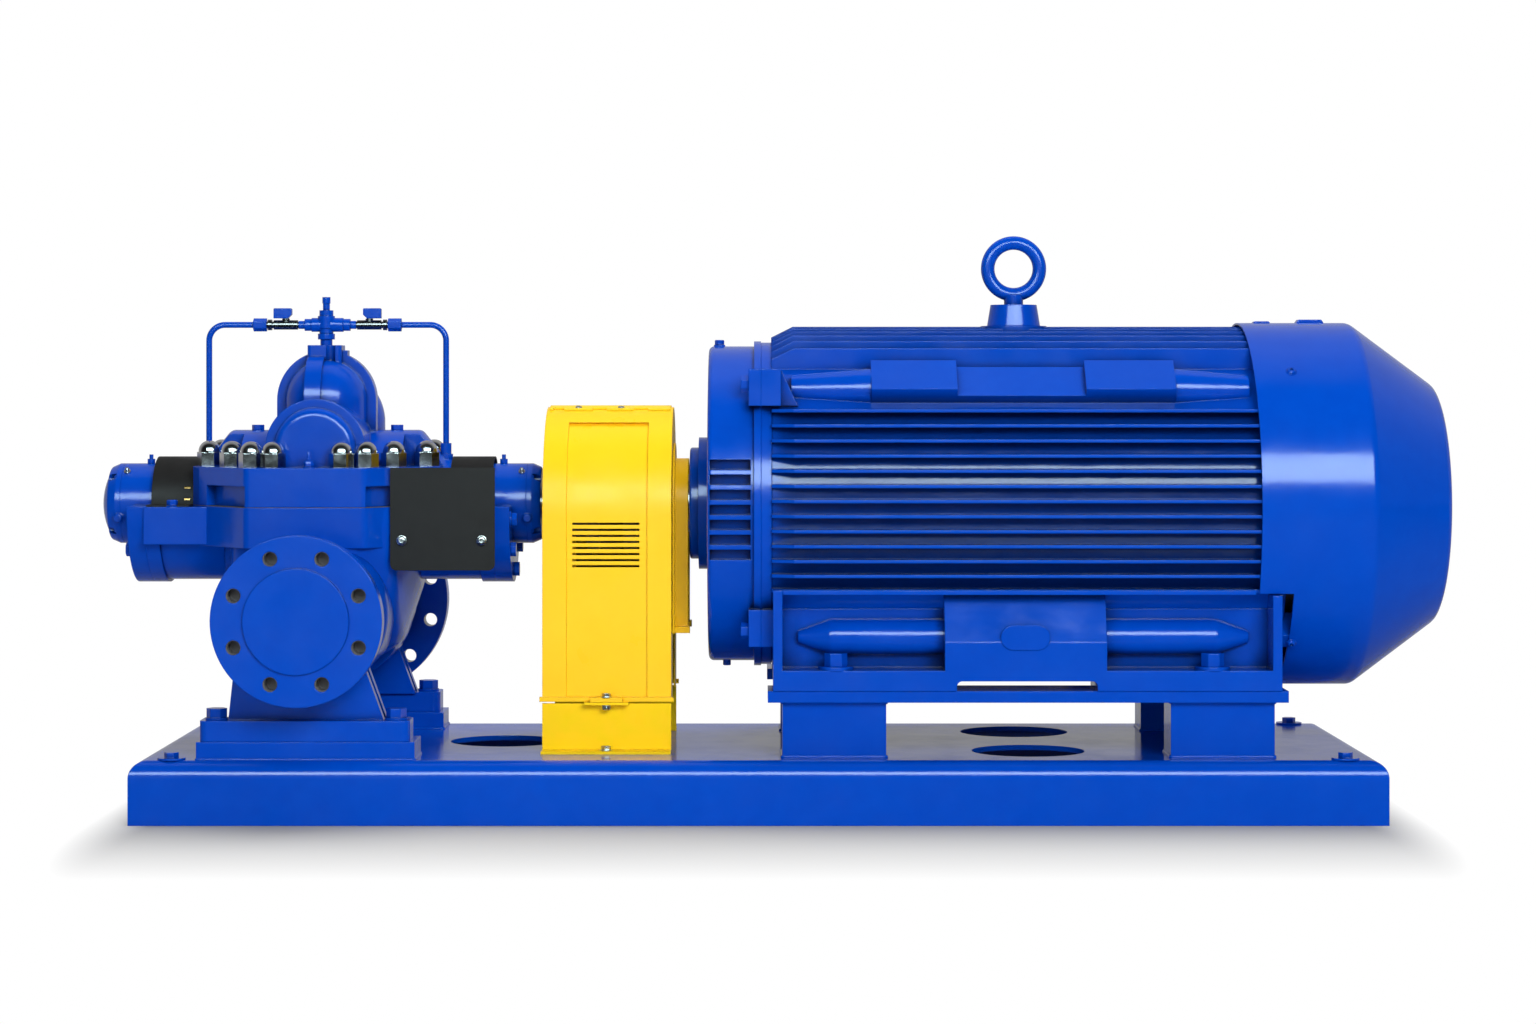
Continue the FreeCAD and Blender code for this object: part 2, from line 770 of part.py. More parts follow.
def base_corner_bolts():
    bolts = []
    for x, y in corner_places():
        seat = Vector(x, y, BASE_HEIGHT)
        bolts.append(bolt(seat, Z_AXIS, CORNER_BOLT_RADIUS, CORNER_BOLT_LENGTH, CORNER_BOLT_FLATS,
                          CORNER_BOLT_HEAD, CORNER_WASHER_RADIUS, CORNER_WASHER_THICK))
    return bolts


def foot_bolt_places():
    return [(PUMP_X + sx * FOOT_BOLT_OFFSET, sy * FOOT_BOLT_Y) for sx in SIDES for sy in SIDES]


def foot_bolt_holes(z0, z1):
    return [rod_z(FOOT_BOLT_RADIUS + BOLT_GAP, z0, z1, x, y) for x, y in foot_bolt_places()]


def pump_pads():
    pad = box(PUMP_X + PAD_LEFT, PUMP_X + PAD_RIGHT, -PAD_FRONT, PAD_DEPTH - PAD_FRONT, BASE_HEIGHT, PAD_TOP)
    pad = cut(pad, foot_bolt_holes(BASE_HEIGHT - 1, PAD_TOP + 1))
    return both_sides(pad)


def foot_bolts():
    bolts = []
    for x, y in foot_bolt_places():
        bolts.append(bolt(Vector(x, y, FOOT_TOP), Z_AXIS, FOOT_BOLT_RADIUS, FOOT_BOLT_LENGTH,
                          FOOT_BOLT_FLATS, FOOT_BOLT_HEAD, FOOT_WASHER_RADIUS, FOOT_WASHER_THICK))
    for x, y in motor_bolt_places():
        seat = Vector(x, y, MOTOR_FOOT_Z + FOOT_PLATE_THICK + MOTOR_PAD_HEIGHT)
        bolts.append(bolt(seat, Z_AXIS, MOTOR_BOLT_RADIUS,
                          MOTOR_BOLT_LENGTH, MOTOR_BOLT_FLATS, MOTOR_BOLT_HEAD))
    return bolts


# Pump casing

def flange_outline(inset=0.0):
    corners = [
        (FLANGE_FRONT_HALF, FLANGE_FRONT - inset, FLANGE_CORNER),
        (FLANGE_SHOULDER - inset, FLANGE_SHOULDER_Y, FLANGE_CORNER),
        (FLANGE_END - inset, FLANGE_END_Y),
    ]
    right = corners + [(x, -y) + tuple(rest) for x, y, *rest in reversed(corners)]
    left = [(-x, y) + tuple(rest) for x, y, *rest in reversed(right)]
    return [(PUMP_X + FLANGE_SHIFT + x, y) + tuple(rest) for x, y, *rest in right + left]


def stud_places():
    places = []
    for along, across in zip(STUD_ALONG, STUD_ACROSS):
        places += [(PUMP_X + FLANGE_SHIFT + sx * along, sy * across) for sx in SIDES for sy in SIDES]
    return places


def stud_holes(z0, z1):
    return [rod_z(STUD_RADIUS + SEAT_GAP, z0, z1, x, y) for x, y in stud_places()]


def nozzle_holes(count, circle, z, y0, y1):
    holes = []
    for index in range(count):
        angle = 2 * math.pi * (index + 0.5) / count
        x = PUMP_X + circle * math.cos(angle)
        holes.append(rod_y(NOZZLE_HOLE_RADIUS, y0, y1, x, z + circle * math.sin(angle)))
    return holes


def waterways():
    """The hollow inside both casing halves: volute, two suction chambers, throats and stuffing boxes."""
    half = [
        (0, 0),
        (0, VOLUTE_RADIUS),
        (VOLUTE_HALF, VOLUTE_RADIUS),
        (VOLUTE_HALF, IMPELLER_RADIUS),
        (EYE_CHAMBER_INNER, EYE_BORE_RADIUS + 8),
        (EYE_CHAMBER_INNER, EYE_BORE_RADIUS),
        (EYE_CHAMBER_OUTER, EYE_BORE_RADIUS, EYE_CHAMBER_ROUND),
        (EYE_CHAMBER_OUTER, THROAT_RADIUS),
        (STUFFING_INNER, THROAT_RADIUS),
        (STUFFING_INNER, STUFFING_BORE),
        (STUFFING_END + 2, STUFFING_BORE),
        (STUFFING_END + 2, 0),
    ]
    right = spin_x(half, PUMP_X)
    return fuse(both_ends(right))


def nozzle_bell(face, thick, waist, z, side):
    start = face - RAISED_FACE - thick
    corners = [
        (side * start, 0),
        (side * start, waist),
        (side * BELL_WAIST_Y, waist, 60),
        (side * BELL_ROOT_Y, BELL_ROOT_RADIUS, 50),
        (side * BELL_INNER_Y, BELL_ROOT_RADIUS),
        (side * BELL_INNER_Y, 0),
    ]
    return spin_y(corners, PUMP_X, z)


def nozzle_flange(face, thick, radius, raised, z, side):
    back = face - RAISED_FACE - thick
    inner, outer = sorted((side * back, side * (face - RAISED_FACE)))
    plate = rod_y(radius, inner, outer, PUMP_X, z)
    inner, outer = sorted((side * (face - RAISED_FACE), side * face))
    return [plate, rod_y(raised, inner, outer, PUMP_X, z)]


def pump_foot(side):
    """One foot with its hollow-ended leg, on the front (-1) or rear (1) side."""
    front, back = sorted((side * FOOT_FRONT, side * (FOOT_FRONT - FOOT_DEPTH)))
    left, right = PUMP_X + FOOT_LEFT, PUMP_X + FOOT_RIGHT
    flange = prism_z([(left, front, FOOT_CORNER), (right, front, FOOT_CORNER),
                      (right, back, FOOT_CORNER), (left, back, FOOT_CORNER)], PAD_TOP, FOOT_TOP)
    outline = [
        (PUMP_X + LEG_BOTTOM_LEFT, FOOT_TOP - 2),
        (PUMP_X + LEG_BOTTOM_RIGHT, FOOT_TOP - 2),
        (PUMP_X + LEG_KNEE_RIGHT, LEG_KNEE_Z, 20),
        (PUMP_X + LEG_KNEE_RIGHT - 10, LEG_TOP_Z),
        (PUMP_X + LEG_KNEE_LEFT + 10, LEG_TOP_Z),
        (PUMP_X + LEG_KNEE_LEFT, LEG_KNEE_Z, 20),
    ]
    front, back = sorted((side * LEG_FRONT, side * (LEG_FRONT - LEG_WALL)))
    near_plate = prism_y(outline, front, back)
    far = LEG_FRONT - LEG_DEPTH
    front, back = sorted((side * far, side * (far + LEG_WALL)))
    far_plate = prism_y(outline, front, back)
    front, back = sorted((side * LEG_FRONT, side * far))
    core = prism_y([
        (PUMP_X - LEG_CORE_FOOT_HALF, FOOT_TOP - 2),
        (PUMP_X + LEG_CORE_FOOT_HALF, FOOT_TOP - 2),
        (PUMP_X + LEG_CORE_HALF, LEG_TOP_Z),
        (PUMP_X - LEG_CORE_HALF, LEG_TOP_Z),
    ], front, back)
    return fuse([flange, near_plate, far_plate, core])


def casing_core():
    """Outside of the lower casing without nozzles, feet and arms: bowl, parting flange, neck and a boss."""
    bowl = spin_x([
        (-BOWL_SIDE_HALF, 0),
        (-BOWL_SIDE_HALF, BOWL_SIDE_RADIUS, 40),
        (-BOWL_KNEE_HALF, BOWL_KNEE_RADIUS, 40),
        (-BOWL_BOTTOM_HALF, BOWL_RADIUS, 50),
        (BOWL_BOTTOM_HALF, BOWL_RADIUS, 50),
        (BOWL_KNEE_HALF, BOWL_KNEE_RADIUS, 40),
        (BOWL_SIDE_HALF, BOWL_SIDE_RADIUS, 40),
        (BOWL_SIDE_HALF, 0),
    ], PUMP_X, BOWL_Z)
    flange = prism_z(flange_outline(), SHAFT_Z - LOWER_FLANGE_THICK, LOWER_TOP)
    neck = rod_x(STUFFING_NECK_RADIUS, PUMP_X - STUFFING_END, PUMP_X + STUFFING_END)
    return fuse([bowl, flange, neck, skirt_boss(SKIRT_SCREW_XS[0])]).cut(above(LOWER_TOP))


def skirt_boss(x):
    return rod_y(SKIRT_BOSS_RADIUS, SKIRT_BACK, -ARM_INNER_RADIUS - 4, x, SKIRT_SCREW_Z)


def nozzle_pieces(thick, waist, radius, raised, z, side):
    """Bell of one nozzle, and its flange with the raised face."""
    bell = nozzle_bell(DISCHARGE_FACE, thick, waist, z, side)
    return [bell, fuse(nozzle_flange(DISCHARGE_FACE, thick, radius, raised, z, side))]


def discharge_pieces():
    return nozzle_pieces(DISCHARGE_FLANGE_THICK, DISCHARGE_BELL_WAIST, DISCHARGE_FLANGE_RADIUS,
                         DISCHARGE_RAISED_RADIUS, DISCHARGE_Z, -1)


def suction_pieces():
    return nozzle_pieces(SUCTION_FLANGE_THICK, SUCTION_BELL_WAIST, SUCTION_FLANGE_RADIUS,
                         SUCTION_RAISED_RADIUS, SUCTION_Z, 1)


def casing_passages():
    """Everything hollow in the lower casting and its nozzles."""
    face = DISCHARGE_FACE + 1
    tools = [
        waterways(),
        rod_y(DISCHARGE_BORE, -face, -VOLUTE_RADIUS * 0.5, PUMP_X, DISCHARGE_Z),
        rod_y(SUCTION_BORE, SUCTION_DUCT_Y - 10, face, PUMP_X, SUCTION_Z),
    ]
    for side in SIDES:
        tools.append(rod_y(SUCTION_DUCT_RADIUS, 0, SUCTION_DUCT_Y, PUMP_X + side * SUCTION_DUCT_OFFSET,
                           SUCTION_DUCT_Z))
    return tools


def bearing_arm():
    """The open half-pipe and side beams that carry the inboard bearing, below the shaft line."""
    start, end = PUMP_X + ARM_START, PUMP_X + ARM_RING_END
    trough = rod_x(ARM_RADIUS, start, end)
    ring = rod_x(RING_RADIUS, PUMP_X + ARM_RING_START, end)
    shapes = [trough.common(below(ARM_BEAM_TOP)), ring.common(below(ARM_BEAM_TOP))]
    for side in SIDES:
        inner, outer = sorted((side * ARM_INNER_RADIUS, side * ARM_BEAM_OUTER))
        shapes.append(box(start, end, inner, outer, ARM_BEAM_BOTTOM, ARM_BEAM_TOP))
    return fuse(shapes)


def arm_hollow():
    start = PUMP_X + STUFFING_END
    trough = rod_x(ARM_INNER_RADIUS, start, PUMP_X + ARM_RING_START)
    bore = rod_x(HOUSING_RADIUS + SEAT_GAP, start, PUMP_X + ARM_RING_END + 1)
    return [trough, bore]


def housing_bolt_places():
    places = []
    for degrees in HOUSING_BOLT_ANGLES:
        angle = math.radians(degrees)
        places.append((HOUSING_BOLT_CIRCLE * math.cos(angle), SHAFT_Z + HOUSING_BOLT_CIRCLE * math.sin(angle)))
    return places


def housing_bolt_holes():
    start, end = PUMP_X + ARM_RING_START - 1, PUMP_X + HOUSING_RING_END + 1
    return [rod_x(HOUSING_BOLT_RADIUS + BOLT_GAP, start, end, y, z) for y, z in housing_bolt_places()]


def lower_casing():
    tools = casing_passages() + both_ends(gland_stud_hole(-1))
    tools += stud_holes(SHAFT_Z - STUD_DEPTH, SHAFT_Z + 1)
    return cut(casing_core(), tools + skirt_screw_holes())


def casing_nozzles():
    face = DISCHARGE_FACE + 1
    tools = [casing_core()] + casing_passages()
    flange_back = DISCHARGE_FACE - RAISED_FACE - DISCHARGE_FLANGE_THICK - 1
    tools += nozzle_holes(DISCHARGE_BOLT_COUNT, DISCHARGE_BOLT_CIRCLE, DISCHARGE_Z, -face, -flange_back)
    flange_back = DISCHARGE_FACE - RAISED_FACE - SUCTION_FLANGE_THICK - 1
    tools += nozzle_holes(SUCTION_BOLT_COUNT, SUCTION_BOLT_CIRCLE, SUCTION_Z, flange_back, face)
    return [cut(piece, tools) for piece in discharge_pieces() + suction_pieces()]


def casing_feet():
    tools = [casing_core()] + discharge_pieces() + suction_pieces()
    tools += foot_bolt_holes(PAD_TOP - 1, FOOT_TOP + 1)
    return [cut(pump_foot(side), tools) for side in SIDES]


def bearing_arms():
    inboard = fuse([bearing_arm(), skirt_boss(SKIRT_SCREW_XS[1])])
    tools = [casing_core()] + skirt_screw_holes()
    for tool in arm_hollow() + housing_bolt_holes():
        tools += both_ends(tool)
    return [cut(inboard, tools), cut(mirror_at_pump(bearing_arm()), tools)]


def casing_gasket():
    sheet = prism_z(flange_outline(), LOWER_TOP, UPPER_BOTTOM)
    return cut(sheet, [waterways()] + stud_holes(LOWER_TOP - 1, UPPER_BOTTOM + 1))


def flange_pockets():
    """Pockets in the four slanted faces of the upper flange, open at the parting plane."""
    along = Vector(FLANGE_SHOULDER - FLANGE_FRONT_HALF, FLANGE_SHOULDER_Y - FLANGE_FRONT, 0).normalize()
    inward = Vector(along.y, -along.x, 0)
    corner = Vector(FLANGE_FRONT_HALF, FLANGE_FRONT, 0)
    start, end = POCKET_RUN
    places = []
    deep = POCKET_DEPTH
    for run, depth in ((start, -deep), (end, -deep), (end, deep), (start, deep)):
        places.append(corner + along * run + inward * depth)
    middle = PUMP_X + FLANGE_SHIFT
    pockets = []
    for sx in SIDES:
        for sy in SIDES:
            corners = [(middle + sx * place.x, sy * place.y) for place in places]
            pockets.append(prism_z(corners, UPPER_BOTTOM - 1, FLANGE_TOP - UPPER_FLANGE_BAND))
    return pockets


def arch_outline(radius, centre, bottom):
    """Half-round arch on upright sides, in front view about the pump centre."""
    corner = radius - 0.01
    return [(PUMP_X - radius, bottom), (PUMP_X - radius, centre + radius, corner),
            (PUMP_X + radius, centre + radius, corner), (PUMP_X + radius, bottom)]


def round_head(radius, centre, y):
    """Upright cylinder with a hemispherical top."""
    top = centre + radius
    outline = [(UPPER_BOTTOM, 0), (UPPER_BOTTOM, radius), (top, radius, radius - 0.01), (top, 0)]
    return spin_z(outline, PUMP_X, y)


def dome(inset=0.0):
    """Volute dome: a half-round band over the middle, a round head before it and a wider one behind."""
    band = prism_y(arch_outline(ARCH_RADIUS - inset, ARCH_Z, UPPER_BOTTOM), -ARCH_HALF_DEPTH, ARCH_HALF_DEPTH)
    throat = prism_y(arch_outline(THROAT_ARCH_RADIUS - inset, NOSE_Z, UPPER_BOTTOM), inset - COLLAR_Y, 0)
    tail = prism_y(arch_outline(NOSE_RADIUS - inset, TAIL_Z, UPPER_BOTTOM), 0, TAIL_END - inset)
    return fuse([
        band,
        round_head(DOME_RADIUS - inset, ARCH_Z, -ARCH_HALF_DEPTH),
        round_head(LOBE_RADIUS - inset, LOBE_Z, LOBE_Y),
        throat,
        tail,
    ])


def dome_keel():
    """The raised strip that runs forward over the dome from the top boss."""
    left, right = PUMP_X + KEEL_LEFT, PUMP_X + KEEL_RIGHT
    wheel = rod_x(DOME_RADIUS + KEEL_RISE, left, right, -ARCH_HALF_DEPTH, ARCH_Z)
    skirt = box(left, right, -ARCH_HALF_DEPTH - DOME_RADIUS - KEEL_RISE, 0, NOSE_Z, ARCH_Z)
    return fuse([wheel.common(box(left, right, -EVERYWHERE, 0, ARCH_Z, EVERYWHERE)), skirt])


def top_boss():
    """Block on the dome top that carries the flush cross, with a half-round groove down its front."""
    x = PUMP_X + TOP_BOSS_OFFSET
    half, corner = TOP_BOSS_RADIUS, TOP_BOSS_ROUND
    outline = [(x - half, -half, corner), (x + half, -half, corner), (x + half, half, corner),
               (x - half, half, corner)]
    block = prism_z(outline, TOP_BOSS_BASE, TOP_BOSS_Z)
    shoulder = box(x + half - 1, x + half + TOP_BOSS_SHOULDER, -ARCH_HALF_DEPTH, ARCH_HALF_DEPTH,
                   TOP_BOSS_BASE, TOP_BOSS_Z - TOP_BOSS_SHOULDER)
    groove_x = PUMP_X + TOP_BOSS_GROOVE_OFFSET
    groove = rod_z(TOP_BOSS_GROOVE, ARCH_Z + DOME_RADIUS - 4, TOP_BOSS_Z + 1, groove_x, -half)
    return fuse([block, shoulder]).cut(groove)


def casing_nose():
    """The discharge throat's rounded front with the collar band behind it."""
    nose = prism_y(arch_outline(NOSE_RADIUS, NOSE_Z, UPPER_BOTTOM), -NOSE_FRONT, 0)
    front = edges_where(nose, lambda p: p.y < 1 - NOSE_FRONT)
    front = [edge for edge in front if edge.BoundBox.ZMax > UPPER_BOTTOM + 1]
    nose = nose.makeFillet(NOSE_ROUND, front)
    collar = prism_y(arch_outline(COLLAR_RADIUS, NOSE_Z, UPPER_BOTTOM), -COLLAR_Y, COLLAR_THICK - COLLAR_Y)
    return [nose, collar]


def side_block():
    """The rounded block over the inboard stuffing box, with its sloped shoulder and neck."""
    block = spin_x([
        (0, 0),
        (0, SIDE_BLOCK_RADIUS),
        (SIDE_BLOCK_SHOULDER, SIDE_BLOCK_RADIUS, 12),
        (SIDE_BLOCK_END, STUFFING_NECK_RADIUS, 8),
        (STUFFING_END, STUFFING_NECK_RADIUS),
        (STUFFING_END, 0),
    ], PUMP_X)
    half, snout = SIDE_BLOCK_HALF_WIDTH, SIDE_BLOCK_SNOUT_HALF
    wide = block.common(box(PUMP_X, PUMP_X + SIDE_BLOCK_WIDE_END, -half, half, SHAFT_Z, EVERYWHERE))
    narrow = block.common(box(PUMP_X, PUMP_X + STUFFING_END, -snout, snout, SHAFT_Z, EVERYWHERE))
    neck = rod_x(STUFFING_NECK_RADIUS, PUMP_X, PUMP_X + STUFFING_END)
    return fuse([wide, narrow, neck])


def upper_casing():
    flange = prism_z(flange_outline(), UPPER_BOTTOM, FLANGE_TOP)
    shapes = [flange, dome(), dome_keel(), top_boss()] + casing_nose() + both_ends(side_block())
    body = fuse(shapes).cut(below(UPPER_BOTTOM))
    hollow = waterways().common(fuse([
        dome(CASING_WALL),
        rod_x(SIDE_BLOCK_RADIUS - CASING_WALL, PUMP_X - EVERYWHERE / 4, PUMP_X + EVERYWHERE / 4),
        prism_z(flange_outline(CASING_WALL), SHAFT_Z - 1, FLANGE_TOP - CASING_WALL),
    ]))
    tools = [hollow] + flange_pockets()
    tools += stud_holes(SHAFT_Z - 1, FLANGE_TOP + 1) + both_ends(gland_stud_hole(1))
    tools += both_ends(side_plug_hole()) + both_ends(flush_port())
    for x, y in stud_places():
        tools.append(rod_z(SPOT_FACE_RADIUS, FLANGE_TOP, FLANGE_TOP + SPOT_FACE_HEIGHT, x, y))
    boss_x = PUMP_X + TOP_BOSS_OFFSET
    tools.append(rod_z(TUBE_BORE, VOLUTE_RADIUS * 0.9 + SHAFT_Z, TOP_BOSS_Z + 1, boss_x, 0))
    return cut(body, tools)


def casing_studs():
    studs = []
    for x, y in stud_places():
        studs.append(rod_z(STUD_RADIUS, SHAFT_Z - STUD_DEPTH + 1, FLANGE_TOP + CAP_NUT_HOLE - 2, x, y))
    return studs


def cap_nut(x, y):
    base = Vector(x, y, FLANGE_TOP)
    hexagonal = hexagon(CAP_NUT_FLATS, CAP_NUT_HEIGHT, base, Z_AXIS)
    half = CAP_NUT_FLATS / 2
    crown = spin_z([
        (FLANGE_TOP, 0),
        (FLANGE_TOP, CAP_NUT_FLATS / math.sqrt(3)),
        (FLANGE_TOP + CAP_NUT_HEX, CAP_NUT_FLATS / math.sqrt(3)),
        (FLANGE_TOP + CAP_NUT_HEX, half),
        (FLANGE_TOP + CAP_NUT_HEIGHT, half, CAP_NUT_ROUND),
        (FLANGE_TOP + CAP_NUT_HEIGHT, 0),
    ], x, y)
    nut = hexagonal.common(crown)
    return nut.cut(rod_z(STUD_RADIUS + SEAT_GAP, FLANGE_TOP - 1, FLANGE_TOP + CAP_NUT_HOLE, x, y))


def side_plug_hole():
    x = PUMP_X + SIDE_PLUG_OFFSET
    top = SHAFT_Z + SIDE_BLOCK_RADIUS
    return rod_z(PLUG_RADIUS + SEAT_GAP, top - PLUG_DEPTH, top + 1, x, 0)


def pump_plugs():
    top = SHAFT_Z + SIDE_BLOCK_RADIUS
    seat = Vector(PUMP_X + SIDE_PLUG_OFFSET, 0, top)
    plug = bolt(seat, Z_AXIS, PLUG_RADIUS, PLUG_DEPTH - 1, PLUG_FLATS, PLUG_HEAD)
    x = PUMP_X + (HOUSING_START + HOUSING_RING_END) / 2
    top = SHAFT_Z + HOUSING_RADIUS
    nipple = spin_z([
        (top, 0),
        (top, GREASE_NIPPLE_RADIUS * 1.5),
        (top + GREASE_NIPPLE_HEIGHT / 2, GREASE_NIPPLE_RADIUS * 1.5),
        (top + GREASE_NIPPLE_HEIGHT / 2, GREASE_NIPPLE_RADIUS * 0.8),
        (top + GREASE_NIPPLE_HEIGHT, GREASE_NIPPLE_RADIUS * 0.8),
        (top + GREASE_NIPPLE_HEIGHT, 0),
    ], x, 0)
    stem = rod_z(GREASE_NIPPLE_RADIUS, top - HOUSING_WALL / 2, top + 1, x, 0)
    return both_ends(plug) + both_ends(fuse([nipple, stem]))


def wear_rings():
    start = PUMP_X + EYE_CHAMBER_INNER
    ring = tube_x(EYE_BORE_RADIUS - SEAT_GAP, IMPELLER_EYE_RADIUS + SEAT_GAP, start, start + WEAR_RING_WIDTH)
    return both_ends(ring)


# Shaft sealing

def packing_rings():
    rings = []
    for index in range(PACKING_RING_COUNT + 1):
        start = PUMP_X + STUFFING_INNER + index * (PACKING_RING_WIDTH + SEAT_GAP) + SEAT_GAP
        rings += both_ends(tube_x(STUFFING_BORE - SEAT_GAP, SLEEVE_RADIUS + SEAT_GAP, start,
                                  start + PACKING_RING_WIDTH))
    return rings


def gland_stud_hole(side):
    """Tapped hole in the stuffing box face, above (1) or below (-1) the shaft."""
    end = PUMP_X + STUFFING_END
    z = SHAFT_Z + side * GLAND_STUD_CIRCLE
    return rod_x(GLAND_STUD_RADIUS + SEAT_GAP, end - GLAND_STUD_DEPTH, end + 1, 0, z)


def packing_glands():
    start = PUMP_X + STUFFING_END + SEAT_GAP
    end = start + GLAND_THICK
    plate = rod_x(GLAND_RADIUS, start, end)
    nose = rod_x(STUFFING_BORE - SEAT_GAP, start - GLAND_NOSE, start)
    bore = rod_x(SLEEVE_RADIUS + SEAT_GAP, start - GLAND_NOSE - 1, end + 1)
    shapes = []
    tools = [bore]
    for side in SIDES:
        z = SHAFT_Z + side * GLAND_STUD_CIRCLE
        tools.append(rod_x(GLAND_STUD_RADIUS + SEAT_GAP, start - 1, end + 1, 0, z))
        stud_start = PUMP_X + STUFFING_END - GLAND_STUD_DEPTH + 1
        stud = rod_x(GLAND_STUD_RADIUS, stud_start, PUMP_X + GLAND_STUD_END, 0, z)
        nut = hexagon(GLAND_NUT_FLATS, GLAND_NUT_THICK, Vector(end, 0, z), X_AXIS)
        shapes.append(fuse([stud, nut]))
    shapes.append(cut(fuse([plate, nose]), tools))
    return [twin for shape in shapes for twin in both_ends(shape)]


# Bearing housings

def bearing_housing():
    """Inboard housing: barrel for the bearing with the half-round flange that bolts to the arm."""
    barrel = rod_x(HOUSING_RADIUS, PUMP_X + HOUSING_START, PUMP_X + HOUSING_END)
    flange = rod_x(RING_RADIUS, PUMP_X + ARM_RING_END, PUMP_X + HOUSING_RING_END)
    body = fuse([barrel, flange.common(below(ARM_BEAM_TOP))])
    inner = PUMP_X + HOUSING_START + HOUSING_WALL
    tools = [
        rod_x(PUMP_BEARING_RADIUS + FIT, inner, PUMP_X + HOUSING_END + 1),
        rod_x(SHAFT_STEP_RADIUS + 1, inner - HOUSING_WALL - 1, inner + 1),
    ]
    x = PUMP_X + (HOUSING_START + HOUSING_RING_END) / 2
    tools.append(rod_z(GREASE_NIPPLE_RADIUS + SEAT_GAP, SHAFT_Z, SHAFT_Z + HOUSING_RADIUS + 1, x, 0))
    return cut(body, tools + housing_bolt_holes() + cover_screw_holes())


def bearing_cover(open_bore):
    """Inboard end cover: bored for the shaft, or blind with a bulged end."""
    start, end = PUMP_X + HOUSING_END, PUMP_X + END_COVER_END
    cover = spin_x([
        (0, 0),
        (0, HOUSING_RADIUS),
        (END_COVER_FLANGE, HOUSING_RADIUS),
        (END_COVER_END - HOUSING_END, END_COVER_TIP_RADIUS, 5),
        (END_COVER_END - HOUSING_END, 0),
    ], start)
    spigot = rod_x(PUMP_BEARING_RADIUS - FIT, start - END_COVER_SPIGOT, start)
    shapes = [cover, spigot]
    if not open_bore:
        bulge = END_COVER_BULGE
        reach = END_COVER_TIP_RADIUS - 6
        ball = (reach ** 2 + bulge ** 2) / (2 * bulge)
        sphere = Part.makeSphere(ball, Vector(end + bulge - ball, 0, SHAFT_Z))
        shapes.append(sphere.common(rod_x(reach, end - 1, end + bulge + 1)))
    hollow = rod_x(SHAFT_BEARING_RADIUS + 1, start - END_COVER_SPIGOT - 1, end + 1 if open_bore else end - 6)
    return cut(fuse(shapes), [hollow] + cover_screw_holes())


def cover_screw_places():
    circle = (HOUSING_RADIUS + PUMP_BEARING_RADIUS) / 2
    angles = [math.radians(45 + 90 * index) for index in range(4)]
    return [(circle * math.cos(angle), SHAFT_Z + circle * math.sin(angle)) for angle in angles]


def cover_screw_holes():
    start, end = PUMP_X + HOUSING_END - SMALL_SCREW_LENGTH - 1, PUMP_X + END_COVER_END + 1
    seat = PUMP_X + HOUSING_END + END_COVER_FLANGE
    holes = []
    for y, z in cover_screw_places():
        holes.append(rod_x(SMALL_SCREW_RADIUS + SEAT_GAP, start, end, y, z))
        holes.append(rod_x(SMALL_SCREW_HEAD_RADIUS + SEAT_GAP, seat, end, y, z))
    return holes


def pump_bracket_bolts():
    bolts = []
    for y, z in housing_bolt_places():
        seat = Vector(PUMP_X + HOUSING_RING_END, y, z)
        bolts.append(bolt(seat, X_AXIS, HOUSING_BOLT_RADIUS, HOUSING_BOLT_LENGTH, HOUSING_BOLT_FLATS,
                          HOUSING_BOLT_HEAD))
    for y, z in cover_screw_places():
        seat = Vector(PUMP_X + HOUSING_END + END_COVER_FLANGE, y, z)
        length = END_COVER_FLANGE + SMALL_SCREW_LENGTH
        bolts.append(screw(seat, X_AXIS, SMALL_SCREW_RADIUS, length, SMALL_SCREW_HEAD_RADIUS, SMALL_SCREW_HEAD))
    return [twin for shape in bolts for twin in both_ends(shape)]


def ball_set(radius, bore, ball_radius, count, start, width):
    """Inner ring, outer ring, and the cage with its balls, for a bearing that starts at x = start."""
    pitch = (radius + bore) / 2
    inner = tube_x(pitch - ball_radius - SEAT_GAP, bore + FIT, start, start + width)
    outer = tube_x(radius, pitch + ball_radius + SEAT_GAP, start, start + width)
    middle = start + width / 2
    cage = [tube_x(pitch + ball_radius / 4, pitch - ball_radius / 4, middle - width / 4, middle + width / 4)]
    for index in range(count):
        angle = 2 * math.pi * (index + 0.3) / count
        centre = Vector(middle, pitch * math.cos(angle), SHAFT_Z + pitch * math.sin(angle))
        cage.append(Part.makeSphere(ball_radius, centre))
    return inner, outer, fuse(cage)


def pump_ball_sets():
    return ball_set(PUMP_BEARING_RADIUS, SHAFT_BEARING_RADIUS, PUMP_BALL_RADIUS, PUMP_BALL_COUNT,
                    PUMP_X + PUMP_BEARING_START, PUMP_BEARING_WIDTH)


def motor_ball_sets():
    sets = []
    for start in (MOTOR_BEARING_LEFT, MOTOR_TAIL_BEARING_LEFT):
        sets.append(ball_set(MOTOR_BEARING_RADIUS, MOTOR_JOURNAL_RADIUS, MOTOR_BALL_RADIUS, MOTOR_BALL_COUNT,
                             start, MOTOR_BEARING_WIDTH))
    return sets


# Packing guards

